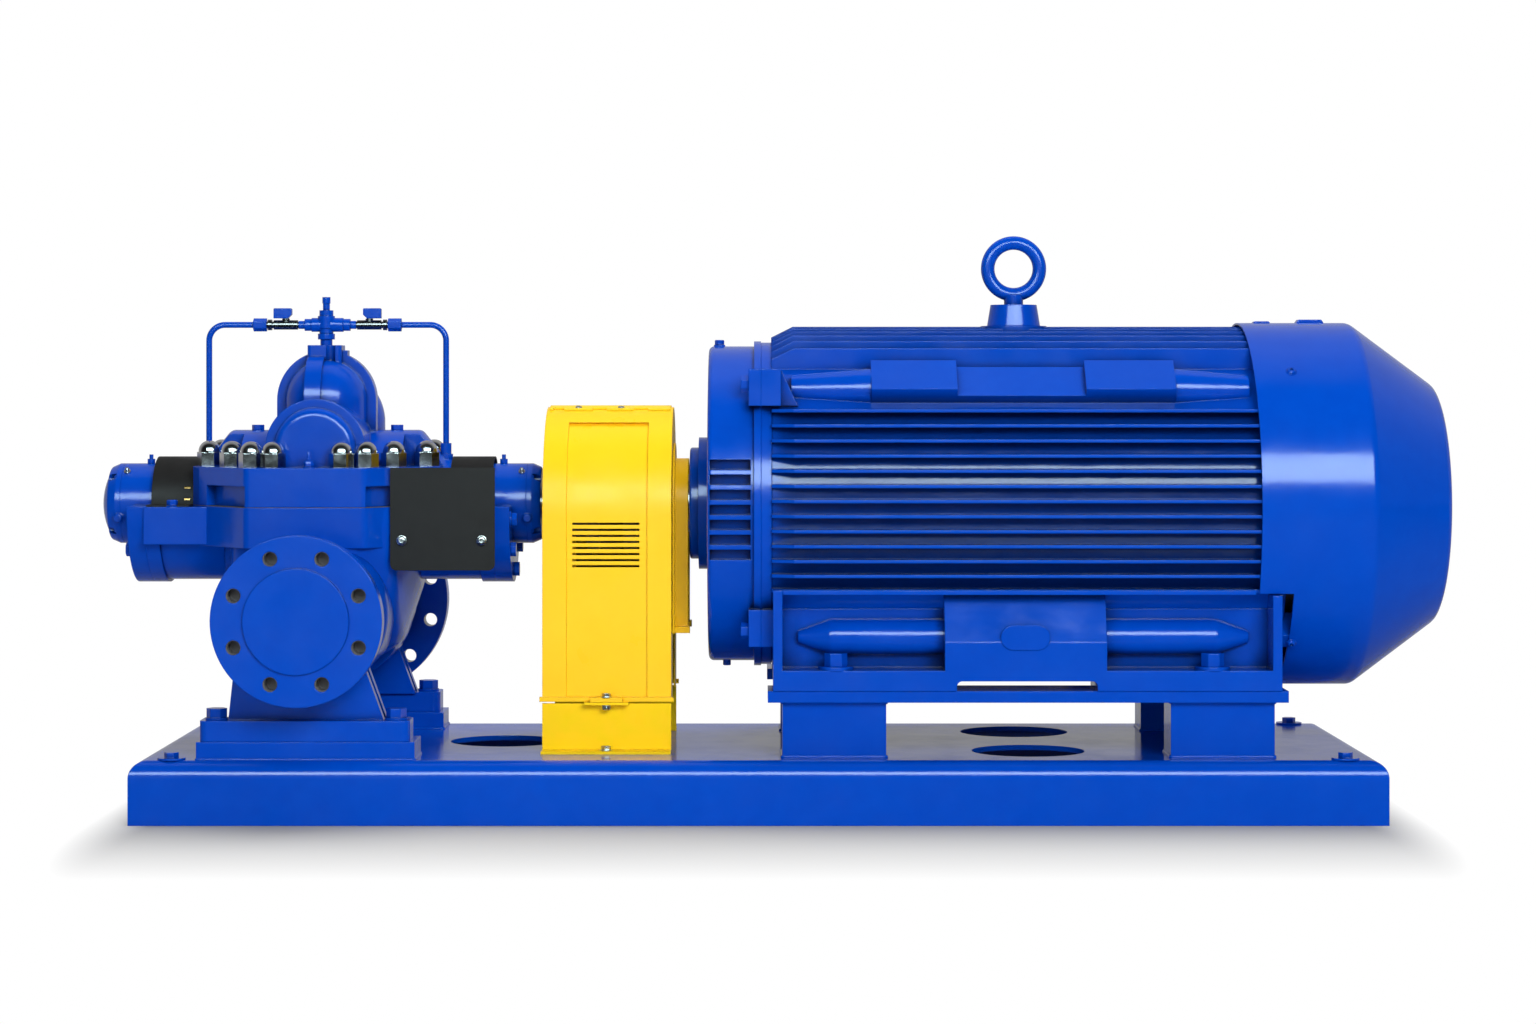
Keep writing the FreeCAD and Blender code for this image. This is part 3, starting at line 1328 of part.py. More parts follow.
def hood():
    """Bent sheet over the inboard gland space: a half-round on two flanges that lie on the arm beams."""
    start, end = PUMP_X + HOOD_START, PUMP_X + HOOD_END
    arch = tube_x(HOOD_RADIUS, HOOD_RADIUS - GUARD_SHEET, start, end)
    arch = arch.common(box(start, end, -HOOD_RADIUS, HOOD_RADIUS, ARM_BEAM_TOP, SHAFT_Z + HOOD_RADIUS))
    shapes = [arch]
    for side in SIDES:
        inner, outer = sorted((side * (HOOD_RADIUS - GUARD_SHEET), side * (HOOD_RADIUS + HOOD_FLANGE)))
        shapes.append(box(start, end, inner, outer, ARM_BEAM_TOP, ARM_BEAM_TOP + GUARD_SHEET))
    slots = []
    for z in HOOD_SLOT_HEIGHTS:
        slots.append(box(start + 6, start + 6 + HOOD_SLOT_LENGTH, -HOOD_RADIUS - 1, HOOD_RADIUS + 1,
                         z, z + HOOD_SLOT_THICK))
    return cut(fuse(shapes), slots)


def skirt_screw_holes():
    y = SKIRT_BACK
    return [rod_y(SMALL_SCREW_RADIUS + SEAT_GAP, y - 1, y + SMALL_SCREW_LENGTH, x, SKIRT_SCREW_Z)
            for x in SKIRT_SCREW_XS]


def packing_guard_skirt():
    back = SKIRT_BACK
    plate = box(SKIRT_LEFT, SKIRT_RIGHT, back - GUARD_SHEET, back, SKIRT_BOTTOM, SKIRT_TOP)
    corners = edges_where(plate, lambda p: abs(p.z - SKIRT_BOTTOM) < 1)
    corners = [edge for edge in corners if abs(edge.tangentAt(edge.FirstParameter).y) > 0.9]
    plate = plate.makeFillet(10, corners)
    return cut(plate, [rod_y(SMALL_SCREW_RADIUS + SEAT_GAP, back - GUARD_SHEET - 1, back + 1, x, SKIRT_SCREW_Z)
                       for x in SKIRT_SCREW_XS])


def skirt_screws():
    screws = []
    for x in SKIRT_SCREW_XS:
        seat = Vector(x, SKIRT_BACK - GUARD_SHEET, SKIRT_SCREW_Z)
        screws.append(screw(seat, Y_AXIS * -1, SMALL_SCREW_RADIUS, SMALL_SCREW_LENGTH,
                            SMALL_SCREW_HEAD_RADIUS, SMALL_SCREW_HEAD))
    return screws


# Flush piping

def flush_port():
    x = PUMP_X + TUBE_OFFSET
    port = rod_z(TUBE_BORE, SHAFT_Z + STUFFING_BORE - 5, STEM_FITTING_BASE + 1, x, 0)
    spot_face = rod_z(FITTING_FLATS / math.sqrt(3) + BOLT_GAP, STEM_FITTING_BASE, EVERYWHERE, x, 0)
    return fuse([port, spot_face])


def flush_tube():
    """Inboard tube: up from the stuffing box fitting, round the bend, across to the valve."""
    x = PUMP_X + TUBE_OFFSET
    corner = Vector(x - TUBE_BEND, 0, TUBE_TOP_Z - TUBE_BEND)
    low = Vector(x, 0, STEM_FITTING_BASE + 6)
    turn_start = Vector(x, 0, TUBE_TOP_Z - TUBE_BEND)
    turn_middle = corner + Vector(TUBE_BEND * math.sqrt(0.5), 0, TUBE_BEND * math.sqrt(0.5))
    turn_end = Vector(x - TUBE_BEND, 0, TUBE_TOP_Z)
    inner = Vector(PUMP_X + SIDE_NUT_INNER + 2, 0, TUBE_TOP_Z)
    path = Part.Wire([
        Part.LineSegment(low, turn_start).toShape(),
        Part.Arc(turn_start, turn_middle, turn_end).toShape(),
        Part.LineSegment(turn_end, inner).toShape(),
    ])
    circle = Part.Wire(Part.makeCircle(TUBE_RADIUS, low, Z_AXIS))
    return path.makePipeShell([circle], True, False)


def flush_fittings():
    """Compression nuts at the stuffing box and beside the valve, inboard end."""
    x = PUMP_X + TUBE_OFFSET
    middle = STEM_FITTING_BASE + 10
    lower_hex = hexagon(FITTING_FLATS, middle - STEM_FITTING_BASE, Vector(x, 0, STEM_FITTING_BASE), Z_AXIS)
    upper = rod_z(FITTING_FLATS / 2 - 1, middle, STEM_FITTING_TOP, x, 0)
    hole = rod_z(TUBE_RADIUS + FIT, STEM_FITTING_BASE + 5, STEM_FITTING_TOP + 1, x, 0)
    bottom = fuse([lower_hex, upper]).cut(hole)
    bottom = bottom.cut(rod_z(TUBE_BORE, STEM_FITTING_BASE - 1, STEM_FITTING_BASE + 6, x, 0))
    base = Vector(PUMP_X + SIDE_NUT_INNER, 0, TUBE_TOP_Z)
    nut = hexagon(FITTING_FLATS - 1, SIDE_NUT_OUTER - SIDE_NUT_INNER, base, X_AXIS)
    nut = nut.cut(rod_x(TUBE_RADIUS + FIT, base.x + 1, base.x + EVERYWHERE, 0, TUBE_TOP_Z))
    return [twin for shape in (bottom, nut) for twin in both_ends(shape)]


def valve_centre():
    return PUMP_X + (VALVE_INNER + VALVE_OUTER) / 2


def flush_valve():
    x0, x1 = PUMP_X + VALVE_INNER, PUMP_X + SIDE_NUT_INNER
    barrel = rod_x(VALVE_BODY_RADIUS, x0, PUMP_X + VALVE_OUTER, 0, TUBE_TOP_Z)
    tail = rod_x(VALVE_BODY_RADIUS * 0.7, x0 - (VALVE_INNER - CROSS_HALF), x1, 0, TUBE_TOP_Z)
    bonnet = rod_z(VALVE_BODY_RADIUS * 0.8, TUBE_TOP_Z, HANDLE_BASE_Z, valve_centre(), 0)
    stem = rod_z(VALVE_STEM_RADIUS, TUBE_TOP_Z, HANDLE_BASE_Z + HANDLE_HEIGHT * 0.6, valve_centre(), 0)
    sleeve = rod_x(VALVE_BODY_RADIUS + 1, PUMP_X + VALVE_SLEEVE[0], PUMP_X + VALVE_SLEEVE[1], 0, TUBE_TOP_Z)
    return fuse([barrel, tail, bonnet, stem, sleeve])


def flush_handle():
    """Block-shaped lever cap over the inboard valve stem, its outer end level with the valve's."""
    z = HANDLE_BASE_Z + SEAT_GAP
    top = z + HANDLE_HEIGHT
    inner, outer = PUMP_X + HANDLE_INNER, PUMP_X + VALVE_OUTER
    block = prism_y([
        (inner, z + HANDLE_NOTCH), (inner + HANDLE_NOTCH, z), (outer, z), (outer, top, 2), (inner, top, 2),
    ], -HANDLE_WIDTH / 2, HANDLE_WIDTH / 2)
    socket_top = HANDLE_BASE_Z + HANDLE_HEIGHT * 0.6 + SEAT_GAP
    return block.cut(rod_z(VALVE_STEM_RADIUS + SEAT_GAP, z - 1, socket_top, valve_centre(), 0))


def flush_cross():
    """Stepped cross fitting screwed into the casing top, with a small cap on a neck above it."""
    x = PUMP_X + TOP_BOSS_OFFSET
    ring_base, ring_top = CROSS_RING
    neck_base, neck_top = CROSS_NECK
    return fuse([
        rod_z(CROSS_RADIUS, TOP_BOSS_Z, neck_base, x, 0),
        rod_z(CROSS_RING_RADIUS, ring_base, ring_top, x, 0),
        rod_z(CROSS_BODY_RADIUS, ring_top, neck_base, x, 0),
        rod_z(CROSS_RING_RADIUS, CROSS_CENTRE[0], CROSS_CENTRE[1], x, 0),
        rod_z(CROSS_NECK_RADIUS, neck_base - 1, neck_top, x, 0),
        rod_z(CROSS_TIP_RADIUS, neck_top, CROSS_TOP_Z, x, 0),
        rod_x(CROSS_BODY_RADIUS, PUMP_X - CROSS_BODY_HALF, PUMP_X + CROSS_BODY_HALF, 0, TUBE_TOP_Z),
        rod_x(CROSS_RADIUS, PUMP_X - CROSS_COLLAR_HALF, PUMP_X + CROSS_COLLAR_HALF, 0, TUBE_TOP_Z),
        rod_x(CROSS_TIP_RADIUS, PUMP_X - CROSS_HALF, PUMP_X + CROSS_HALF, 0, TUBE_TOP_Z),
    ])


# Pump rotor

def pump_shaft():
    tail = -SHAFT_BEARING_END
    profile = [
        (tail, 0),
        (tail, SHAFT_BEARING_RADIUS),
        (-SHAFT_SHOULDER, SHAFT_BEARING_RADIUS),
        (-SHAFT_SHOULDER, SHAFT_STEP_RADIUS),
        (-SHAFT_MID_HALF, SHAFT_STEP_RADIUS),
        (-SHAFT_MID_HALF, SHAFT_MID_RADIUS),
        (SHAFT_MID_HALF, SHAFT_MID_RADIUS),
        (SHAFT_MID_HALF, SHAFT_STEP_RADIUS),
        (SHAFT_SHOULDER, SHAFT_STEP_RADIUS),
        (SHAFT_SHOULDER, SHAFT_BEARING_RADIUS),
        (END_COVER_END, SHAFT_BEARING_RADIUS),
        (END_COVER_END, SHAFT_END_RADIUS),
        (PUMP_SHAFT_TIP - PUMP_X, SHAFT_END_RADIUS),
        (PUMP_SHAFT_TIP - PUMP_X, 0),
    ]
    return spin_x(profile, PUMP_X).cut(keyway(SHAFT_END_RADIUS, PUMP_HUB_START, PUMP_HUB_END, SEAT_GAP))


def keyway(radius, x0, x1, gap=0.0):
    half = KEY_WIDTH / 2 + gap
    low = SHAFT_Z + radius - KEY_HEIGHT / 2 - gap
    return box(x0 + 4 - gap, x1 - 4 + gap, -half, half, low, low + KEY_HEIGHT + 2 * gap)


def impeller():
    """Double-suction impeller: hub and centre web, curved vanes, and a shroud on each side."""
    half = [
        (0, SHAFT_MID_RADIUS + FIT),
        (0, IMPELLER_RADIUS),
        (IMPELLER_TIP_HALF + IMPELLER_SHROUD, IMPELLER_RADIUS),
        (IMPELLER_TIP_HALF + IMPELLER_SHROUD, IMPELLER_RADIUS - 20),
        (IMPELLER_EYE_HALF - 17, IMPELLER_EYE_RADIUS),
        (IMPELLER_EYE_HALF, IMPELLER_EYE_RADIUS),
        (IMPELLER_EYE_HALF, IMPELLER_EYE_RADIUS - IMPELLER_SHROUD),
        (IMPELLER_HUB_HALF, IMPELLER_HUB_RADIUS - 6),
        (IMPELLER_HUB_HALF, SHAFT_MID_RADIUS + FIT),
    ]
    passage_half = [
        (IMPELLER_WEB_HALF, IMPELLER_RADIUS + 1),
        (IMPELLER_TIP_HALF, IMPELLER_RADIUS + 1),
        (IMPELLER_TIP_HALF, IMPELLER_RADIUS - 20),
        (IMPELLER_EYE_HALF - 20, IMPELLER_EYE_RADIUS - IMPELLER_SHROUD),
        (IMPELLER_HUB_HALF + 1, IMPELLER_EYE_RADIUS - IMPELLER_SHROUD),
        (IMPELLER_HUB_HALF + 1, IMPELLER_HUB_RADIUS - 4),
        (IMPELLER_HUB_HALF - 24, IMPELLER_HUB_RADIUS),
        (IMPELLER_WEB_HALF, IMPELLER_HUB_RADIUS + 34),
    ]
    body = fuse(both_ends(spin_x(half, PUMP_X)))
    passage = spin_x(passage_half, PUMP_X)
    passages = both_ends(passage)
    hollow = body.cut(passages)
    vanes = []
    middle = VANE_CURVE_RADIUS
    ring = tube_x(middle + VANE_THICK / 2, middle - VANE_THICK / 2, PUMP_X - IMPELLER_EYE_HALF + 20,
                  PUMP_X + IMPELLER_EYE_HALF - 20, IMPELLER_HUB_RADIUS + middle, SHAFT_Z)
    sweep = ring.common(box(-EVERYWHERE, 0, 0, IMPELLER_HUB_RADIUS + middle, SHAFT_Z, EVERYWHERE))
    for index in range(VANE_COUNT):
        vane = sweep.copy()
        vane.rotate(Vector(PUMP_X, 0, SHAFT_Z), X_AXIS, 360 * index / VANE_COUNT)
        vanes.append(vane)
    blades = fuse(vanes).common(fuse(passages)).common(rod_x(IMPELLER_RADIUS, PUMP_X - 100, PUMP_X + 100))
    return fuse([hollow, blades])


def shaft_sleeves():
    sleeve = tube_x(SLEEVE_RADIUS, SHAFT_MID_RADIUS + FIT, PUMP_X + SLEEVE_START, PUMP_X + SHAFT_MID_HALF)
    return both_ends(sleeve)


def shaft_slingers():
    start = PUMP_X + SLINGER_START
    return both_ends(tube_x(SLINGER_RADIUS, SHAFT_STEP_RADIUS + FIT, start, start + SLINGER_THICK))


# Coupling

def coupling_hub(start, end, flange_side, shaft_radius):
    """Barrel with a flange towards the element, bored for its shaft and key."""
    barrel = rod_x(HUB_BARREL_RADIUS, start, end)
    if flange_side > 0:
        flange = rod_x(HUB_RADIUS, end - HUB_FLANGE, end)
    else:
        flange = rod_x(HUB_RADIUS, start, start + HUB_FLANGE)
    bore = rod_x(shaft_radius + FIT, start - 1, end + 1)
    reach = box(start - 9, end + 9, -60, 60, SHAFT_Z, SHAFT_Z + 60)
    slot = keyway(shaft_radius, start, end, SEAT_GAP).common(reach)
    return fuse([barrel, flange]).cut(bore).cut(slot)


def pump_coupling_hub():
    return [coupling_hub(PUMP_HUB_START, PUMP_HUB_END, 1, SHAFT_END_RADIUS),
            keyway(SHAFT_END_RADIUS, PUMP_HUB_START, PUMP_HUB_END)]


def motor_coupling_hub():
    return [coupling_hub(MOTOR_HUB_START, MOTOR_HUB_END, -1, MOTOR_SHAFT_RADIUS),
            keyway(MOTOR_SHAFT_RADIUS, MOTOR_HUB_START, MOTOR_HUB_END)]


def coupling_element():
    """Flexible disc between the hubs, bonded to the motor hub's side."""
    start, end = PUMP_HUB_END + ELEMENT_GAP, MOTOR_HUB_START
    tyre = spin_x([
        (0, ELEMENT_BORE),
        (0, HUB_RADIUS - 4, 3),
        ((end - start) / 2, HUB_RADIUS + 6, 12),
        (end - start, HUB_RADIUS - 4, 3),
        (end - start, ELEMENT_BORE),
    ], start)
    return tyre


# Coupling guard

def arch_block(half, x0, x1, bottom, centre):
    top = rod_x(half, x0, x1, 0, centre).common(above(centre))
    return fuse([top, box(x0, x1, -half, half, bottom, centre)])


def guard_front_half():
    """Front half of the guard: side, quarter arch, end walls, recessed louvred panel and a clamping lip."""
    shell = arch_block(COVER_HALF_DEPTH, COVER_LEFT, COVER_RIGHT, COVER_BOTTOM, COVER_ARCH_Z)
    inner = arch_block(COVER_HALF_DEPTH - COVER_SHEET, COVER_LEFT + COVER_SHEET, COVER_RIGHT - COVER_SHEET,
                       COVER_BOTTOM - 1, COVER_ARCH_Z)
    shell = shell.cut(inner)
    recess_depth = COVER_HALF_DEPTH - COVER_PANEL_RECESS
    panel_top = COVER_PANEL_TOP
    dent = arch_block(EVERYWHERE / 4, COVER_PANEL_LEFT, COVER_PANEL_RIGHT, COVER_BOTTOM - 1, COVER_ARCH_Z)
    dent = dent.common(box(-EVERYWHERE, EVERYWHERE, -EVERYWHERE, 0, COVER_BOTTOM - 1, panel_top))
    kept = arch_block(recess_depth, COVER_LEFT, COVER_RIGHT, COVER_BOTTOM - 2, COVER_ARCH_Z)
    inside = arch_block(recess_depth - COVER_SHEET, COVER_LEFT - 1, COVER_RIGHT + 1, COVER_BOTTOM - 3,
                        COVER_ARCH_Z)
    block = arch_block(COVER_HALF_DEPTH, COVER_LEFT, COVER_RIGHT, COVER_BOTTOM, COVER_ARCH_Z)
    edge = COVER_SHEET
    patch = box(COVER_PANEL_LEFT - edge, COVER_PANEL_RIGHT + edge, -EVERYWHERE, 0, COVER_BOTTOM,
                panel_top + edge)
    shell = fuse([shell, block.cut(inside).common(patch)]).cut(dent.cut(kept))
    slots = []
    for index in range(LOUVRE_COUNT):
        z = LOUVRE_TOP_Z - index * LOUVRE_PITCH
        slots.append(box(LOUVRE_LEFT, LOUVRE_RIGHT, -COVER_HALF_DEPTH - 1, -recess_depth + 4,
                         z - LOUVRE_HEIGHT, z))
    hole = rod_x(COVER_SHAFT_HOLE, COVER_LEFT - 1, COVER_RIGHT + 1)
    slit = box(COVER_LEFT - 1, COVER_RIGHT + 1, -COVER_SHAFT_HOLE, COVER_SHAFT_HOLE, COVER_BOTTOM - 5, SHAFT_Z)
    front = box(-EVERYWHERE, EVERYWHERE, -EVERYWHERE, -SEAT_GAP / 2, -1, EVERYWHERE)
    body = shell.common(front).cut([hole, slit] + slots)
    lip_top = COVER_BOTTOM + COVER_LIP_HEIGHT
    lip = box(COVER_LEFT - COVER_LIP_OVERHANG, COVER_RIGHT + COVER_LIP_OVERHANG, -COVER_HALF_DEPTH - COVER_LIP,
              -recess_depth, COVER_BOTTOM, lip_top)
    lip = lip.cut(box(COVER_LEFT + COVER_SHEET, COVER_RIGHT - COVER_SHEET, -recess_depth + COVER_SHEET, 0,
                      COVER_BOTTOM - 1, lip_top + 1))
    middle = (COVER_LEFT + COVER_RIGHT) / 2
    ear = box(middle - COVER_EAR_HALF, middle + COVER_EAR_HALF, -COVER_HALF_DEPTH - COVER_EAR, -recess_depth,
              COVER_BOTTOM, lip_top)
    hole = rod_z(GUARD_SCREW_RADIUS, COVER_BOTTOM - 1, lip_top + 1, middle,
                 -COVER_HALF_DEPTH - (COVER_EAR + COVER_LIP) / 2)
    return fuse([body, lip, ear]).cut(hole)


def guard_strip():
    """Saddle over the top of the guard that ties its two halves, with three slots along each edge."""
    outer = COVER_HALF_DEPTH + COVER_SHEET + SEAT_GAP
    band = arch_block(outer, COVER_LEFT + 4, COVER_RIGHT - 4, COVER_BOTTOM, COVER_ARCH_Z)
    band = band.cut(arch_block(COVER_HALF_DEPTH + SEAT_GAP, COVER_LEFT - 1, COVER_RIGHT + 1, 0, COVER_ARCH_Z))
    half = COVER_STRIP_HALF
    band = band.common(box(-EVERYWHERE, EVERYWHERE, -half, half, COVER_ARCH_Z, EVERYWHERE))
    slots = []
    for left, right in STRIP_SLOTS:
        slots.append(box(left, right, half - STRIP_SLOT_DEPTH, half + 1, COVER_ARCH_Z, EVERYWHERE))
    return band.cut([twin for slot in slots for twin in both_sides(slot)])


def guard_brackets():
    """Angle brackets from the deck up to the guard's lower edge, each foot turned outward."""
    face = COVER_HALF_DEPTH
    wall = box(COVER_LEFT, COVER_RIGHT, -face, BRACKET_THICK - face, BASE_HEIGHT, BRACKET_TOP)
    foot_top = BASE_HEIGHT + BRACKET_THICK
    foot = box(COVER_LEFT, COVER_RIGHT, -face - BRACKET_FOOT, BRACKET_THICK - face, BASE_HEIGHT, foot_top)
    middle = (COVER_LEFT + COVER_RIGHT) / 2
    shelf_top = COVER_BOTTOM - SEAT_GAP
    shelf = box(middle - BRACKET_TAB, middle + BRACKET_TAB, -face - COVER_EAR, BRACKET_THICK - face,
                shelf_top - BRACKET_THICK, shelf_top)
    tools = [
        rod_z(GUARD_SCREW_RADIUS, BASE_HEIGHT - 1, foot_top + 1, middle, -face - BRACKET_FOOT / 2),
        rod_z(GUARD_SCREW_RADIUS, shelf_top - BRACKET_THICK - 1, shelf_top + 1, middle,
              -face - (COVER_EAR + COVER_LIP) / 2),
    ]
    bracket = cut(fuse([wall, foot, shelf]), tools)
    return both_sides(bracket) + [guard_strip()]


def guard_collar():
    """Inverted-U collar over the motor shaft between guard and bearing cap, with a foot tab on each side."""
    top_z = MOTOR_COLLAR_TOP - MOTOR_COLLAR_HALF
    x0, x1 = COVER_RIGHT + SEAT_GAP, MOTOR_COLLAR_RIGHT
    outer = arch_block(MOTOR_COLLAR_HALF, x0, x1, MOTOR_COLLAR_BOTTOM, top_z)
    inner_half = MOTOR_COLLAR_HALF - MOTOR_COLLAR_SHEET
    sheet = outer.cut(arch_block(inner_half, x0 - 1, x1 + 1, MOTOR_COLLAR_BOTTOM - 1, top_z))
    flange = arch_block(MOTOR_COLLAR_HALF + 24, x0, x0 + MOTOR_COLLAR_SHEET, MOTOR_COLLAR_BOTTOM, top_z)
    flange = flange.cut(arch_block(inner_half, x0 - 1, x1 + 1, MOTOR_COLLAR_BOTTOM - 1, top_z))
    tab = box(x0, x1 + MOTOR_COLLAR_SHEET, -MOTOR_COLLAR_HALF - MOTOR_COLLAR_TAB, -inner_half,
              MOTOR_COLLAR_BOTTOM, MOTOR_COLLAR_BOTTOM + MOTOR_COLLAR_SLANT)
    return fuse([sheet, flange] + both_sides(tab))


# Motor pedestals

def motor_bolt_places():
    return [(x, side * MOTOR_BOLT_Y) for x in MOTOR_BOLT_XS for side in SIDES]


def motor_bolt_holes(z0, z1):
    return [rod_z(MOTOR_BOLT_RADIUS + BOLT_GAP, z0, z1, x, y) for x, y in motor_bolt_places()]


def motor_pedestals():
    """Rails under the motor feet, each on two box risers open at top and bottom."""
    solids = []
    rail = box(RAIL_LEFT, RAIL_RIGHT, -RAIL_OUTER, -RAIL_INNER, RAIL_BOTTOM, RAIL_TOP)
    rail = cut(rail, motor_bolt_holes(RAIL_BOTTOM - 1, RAIL_TOP + 1))
    solids += both_sides(rail)
    for left in RISER_LEFTS:
        right = left + RISER_WIDTH
        riser = box(left, right, -RISER_OUTER, -RISER_INNER, BASE_HEIGHT, RAIL_BOTTOM)
        hollow = box(left + RISER_WALL, right - RISER_WALL, RISER_WALL - RISER_OUTER, -RISER_WALL - RISER_INNER,
                     BASE_HEIGHT - 1, RAIL_BOTTOM + 1)
        riser = cut(riser, [hollow])
        solids += both_sides(riser)
    return solids


# Motor

def side_fins():
    fins = []
    for index in range(SIDE_FIN_COUNT):
        z = SIDE_FIN_LOWEST + index * FIN_PITCH
        reach = math.sqrt(FIN_ENVELOPE ** 2 - (z - SHAFT_Z) ** 2)
        fin = prism_z([
            (FIN_LEFT, -FRAME_RADIUS * 0.55),
            (FIN_LEFT, FIN_NOSE_DROP - reach),
            (FIN_LEFT + FIN_CHAMFER, -reach),
            (FRAME_RIGHT, -reach),
            (FRAME_RIGHT, -FRAME_RADIUS * 0.55),
        ], z - FIN_THICK / 2, z + FIN_THICK / 2)
        fins += both_sides(fin)
    return fins


def top_fins():
    """Upright fins over the top of the barrel, sloped at the drive end."""
    fins = []
    middle = (TOP_FIN_COUNT - 1) / 2
    for index in range(TOP_FIN_COUNT):
        y = (index - middle) * FIN_PITCH
        top = SHAFT_Z + math.sqrt(FIN_ENVELOPE ** 2 - y ** 2)
        low = SHAFT_Z + FRAME_RADIUS * 0.75
        fins.append(prism_y([
            (FIN_LEFT, low), (FRAME_RIGHT, low), (FRAME_RIGHT, top),
            (FIN_LEFT + FIN_CHAMFER, top), (FIN_LEFT, top - FIN_NOSE_DROP),
        ], y - FIN_THICK / 2, y + FIN_THICK / 2))
    return fins


def frame_ridges():
    """Ridges along the upper diagonals: a bar with two flat pads and tapered half-round ends."""
    root = SHAFT_Z + FRAME_RADIUS * 0.9
    face = SHAFT_Z + RIDGE_HEIGHT
    bars = [box(RIDGE_PADS[0][0], RIDGE_PADS[-1][1], -RIDGE_HALF, RIDGE_HALF, root, face - RIDGE_STEP)]
    for left, right in RIDGE_PADS:
        bars.append(box(left, right, -RIDGE_HALF, RIDGE_HALF, root, face))
    centre = Vector(BULGE_ENDS[0], 0, face - RIDGE_HALF)
    length = RIDGE_PADS[0][0] - BULGE_ENDS[0]
    bars.append(Part.makeCone(BULGE_END_RADIUS, RIDGE_HALF, length, centre, X_AXIS))
    centre = Vector(RIDGE_PADS[-1][1], 0, face - RIDGE_HALF)
    length = BULGE_ENDS[1] - RIDGE_PADS[-1][1]
    bars.append(Part.makeCone(RIDGE_HALF, BULGE_END_RADIUS, length, centre, X_AXIS))
    ridge = fuse(bars)
    ridge.rotate(Vector(0, 0, SHAFT_Z), X_AXIS, RIDGE_ANGLE)
    return both_sides(ridge)


def foot_bullet(left, right, tip_left):
    """Half-round bar in a foot pocket, its outer end drawn out to a blunt nose."""
    length = right - left
    nose = FOOT_BULLET_NOSE
    radius = FOOT_BULLET_RADIUS
    corners = [(0, 0), (0, radius / 3), (nose, radius, nose / 2), (length, radius), (length, 0)]
    if not tip_left:
        corners = [(length - x, *rest) for x, *rest in reversed(corners)]
    bar = spin_x(corners, left, FOOT_BULLET_Z)
    bar.translate(Vector(0, -FOOT_BULLET_Y, 0))
    return bar.cut(box(left - 1, right + 1, FOOT_WALL - FOOT_WALL_Y, EVERYWHERE, -1, EVERYWHERE))


def frame_foot():
    """Front foot: base plate, bent centre panel, end ribs, and a pocket over each bolt."""
    outer, inner = -FOOT_PANEL_OUTER, -FOOT_PLATE_INNER
    plate_top = MOTOR_FOOT_Z + FOOT_PLATE_THICK
    left, right = FOOT_PANEL_LEFT, FOOT_PANEL_RIGHT
    centre = prism_x([
        (inner, MOTOR_FOOT_Z), (outer, MOTOR_FOOT_Z), (outer, FOOT_BEND_Z),
        (-FOOT_PANEL_INNER, FOOT_PANEL_TOP), (inner, FOOT_PANEL_TOP),
    ], FOOT_CENTRE[0], FOOT_CENTRE[1])
    wall = box(left, right, -FOOT_WALL_Y, FOOT_WALL - FOOT_WALL_Y, MOTOR_FOOT_Z, FOOT_PANEL_TOP)
    shelf = box(left, FOOT_SHELF_RIGHT, outer + 3, -FOOT_WALL_Y, FOOT_PANEL_TOP, FOOT_PANEL_TOP + FOOT_SHELF)
    shapes = [
        box(left, right, outer, inner, MOTOR_FOOT_Z, plate_top),
        centre,
        box(left, left + FOOT_RIB, outer, inner, MOTOR_FOOT_Z, FOOT_PANEL_TOP + FOOT_SHELF),
        box(right - FOOT_RIB, right, outer, inner, MOTOR_FOOT_Z, FOOT_PANEL_TOP - 1),
        wall,
        shelf,
    ]
    for x in MOTOR_BOLT_XS:
        shapes.append(rod_z(MOTOR_PAD_RADIUS, plate_top - 1, plate_top + MOTOR_PAD_HEIGHT, x, -MOTOR_BOLT_Y))
    shapes.append(foot_bullet(FOOT_BULLET_XS[0], FOOT_CENTRE[0] + 1, True))
    shapes.append(foot_bullet(FOOT_CENTRE[1] - 1, FOOT_BULLET_XS[1], False))
    foot = fuse(shapes)
    relief_top = MOTOR_FOOT_Z + FOOT_RELIEF_HEIGHT
    relief = prism_y([
        (FOOT_RELIEF[0], MOTOR_FOOT_Z - 1), (FOOT_RELIEF[1], MOTOR_FOOT_Z - 1),
        (FOOT_RELIEF[1], relief_top, FOOT_RELIEF_ROUND), (FOOT_RELIEF[0], relief_top, FOOT_RELIEF_ROUND),
    ], outer - 1, 1 + inner)
    return foot.cut(relief)


def oval_plate():
    half = OVAL_PLATE_HALF
    radius = OVAL_PLATE_RADIUS - 0.01
    x, z = OVAL_PLATE_X, OVAL_PLATE_Z
    corners = [(x - half, z - OVAL_PLATE_RADIUS, radius), (x + half, z - OVAL_PLATE_RADIUS, radius),
               (x + half, z + OVAL_PLATE_RADIUS, radius), (x - half, z + OVAL_PLATE_RADIUS, radius)]
    return prism_y(corners, -FOOT_PANEL_OUTER - OVAL_PLATE_THICK, -FOOT_PANEL_OUTER)


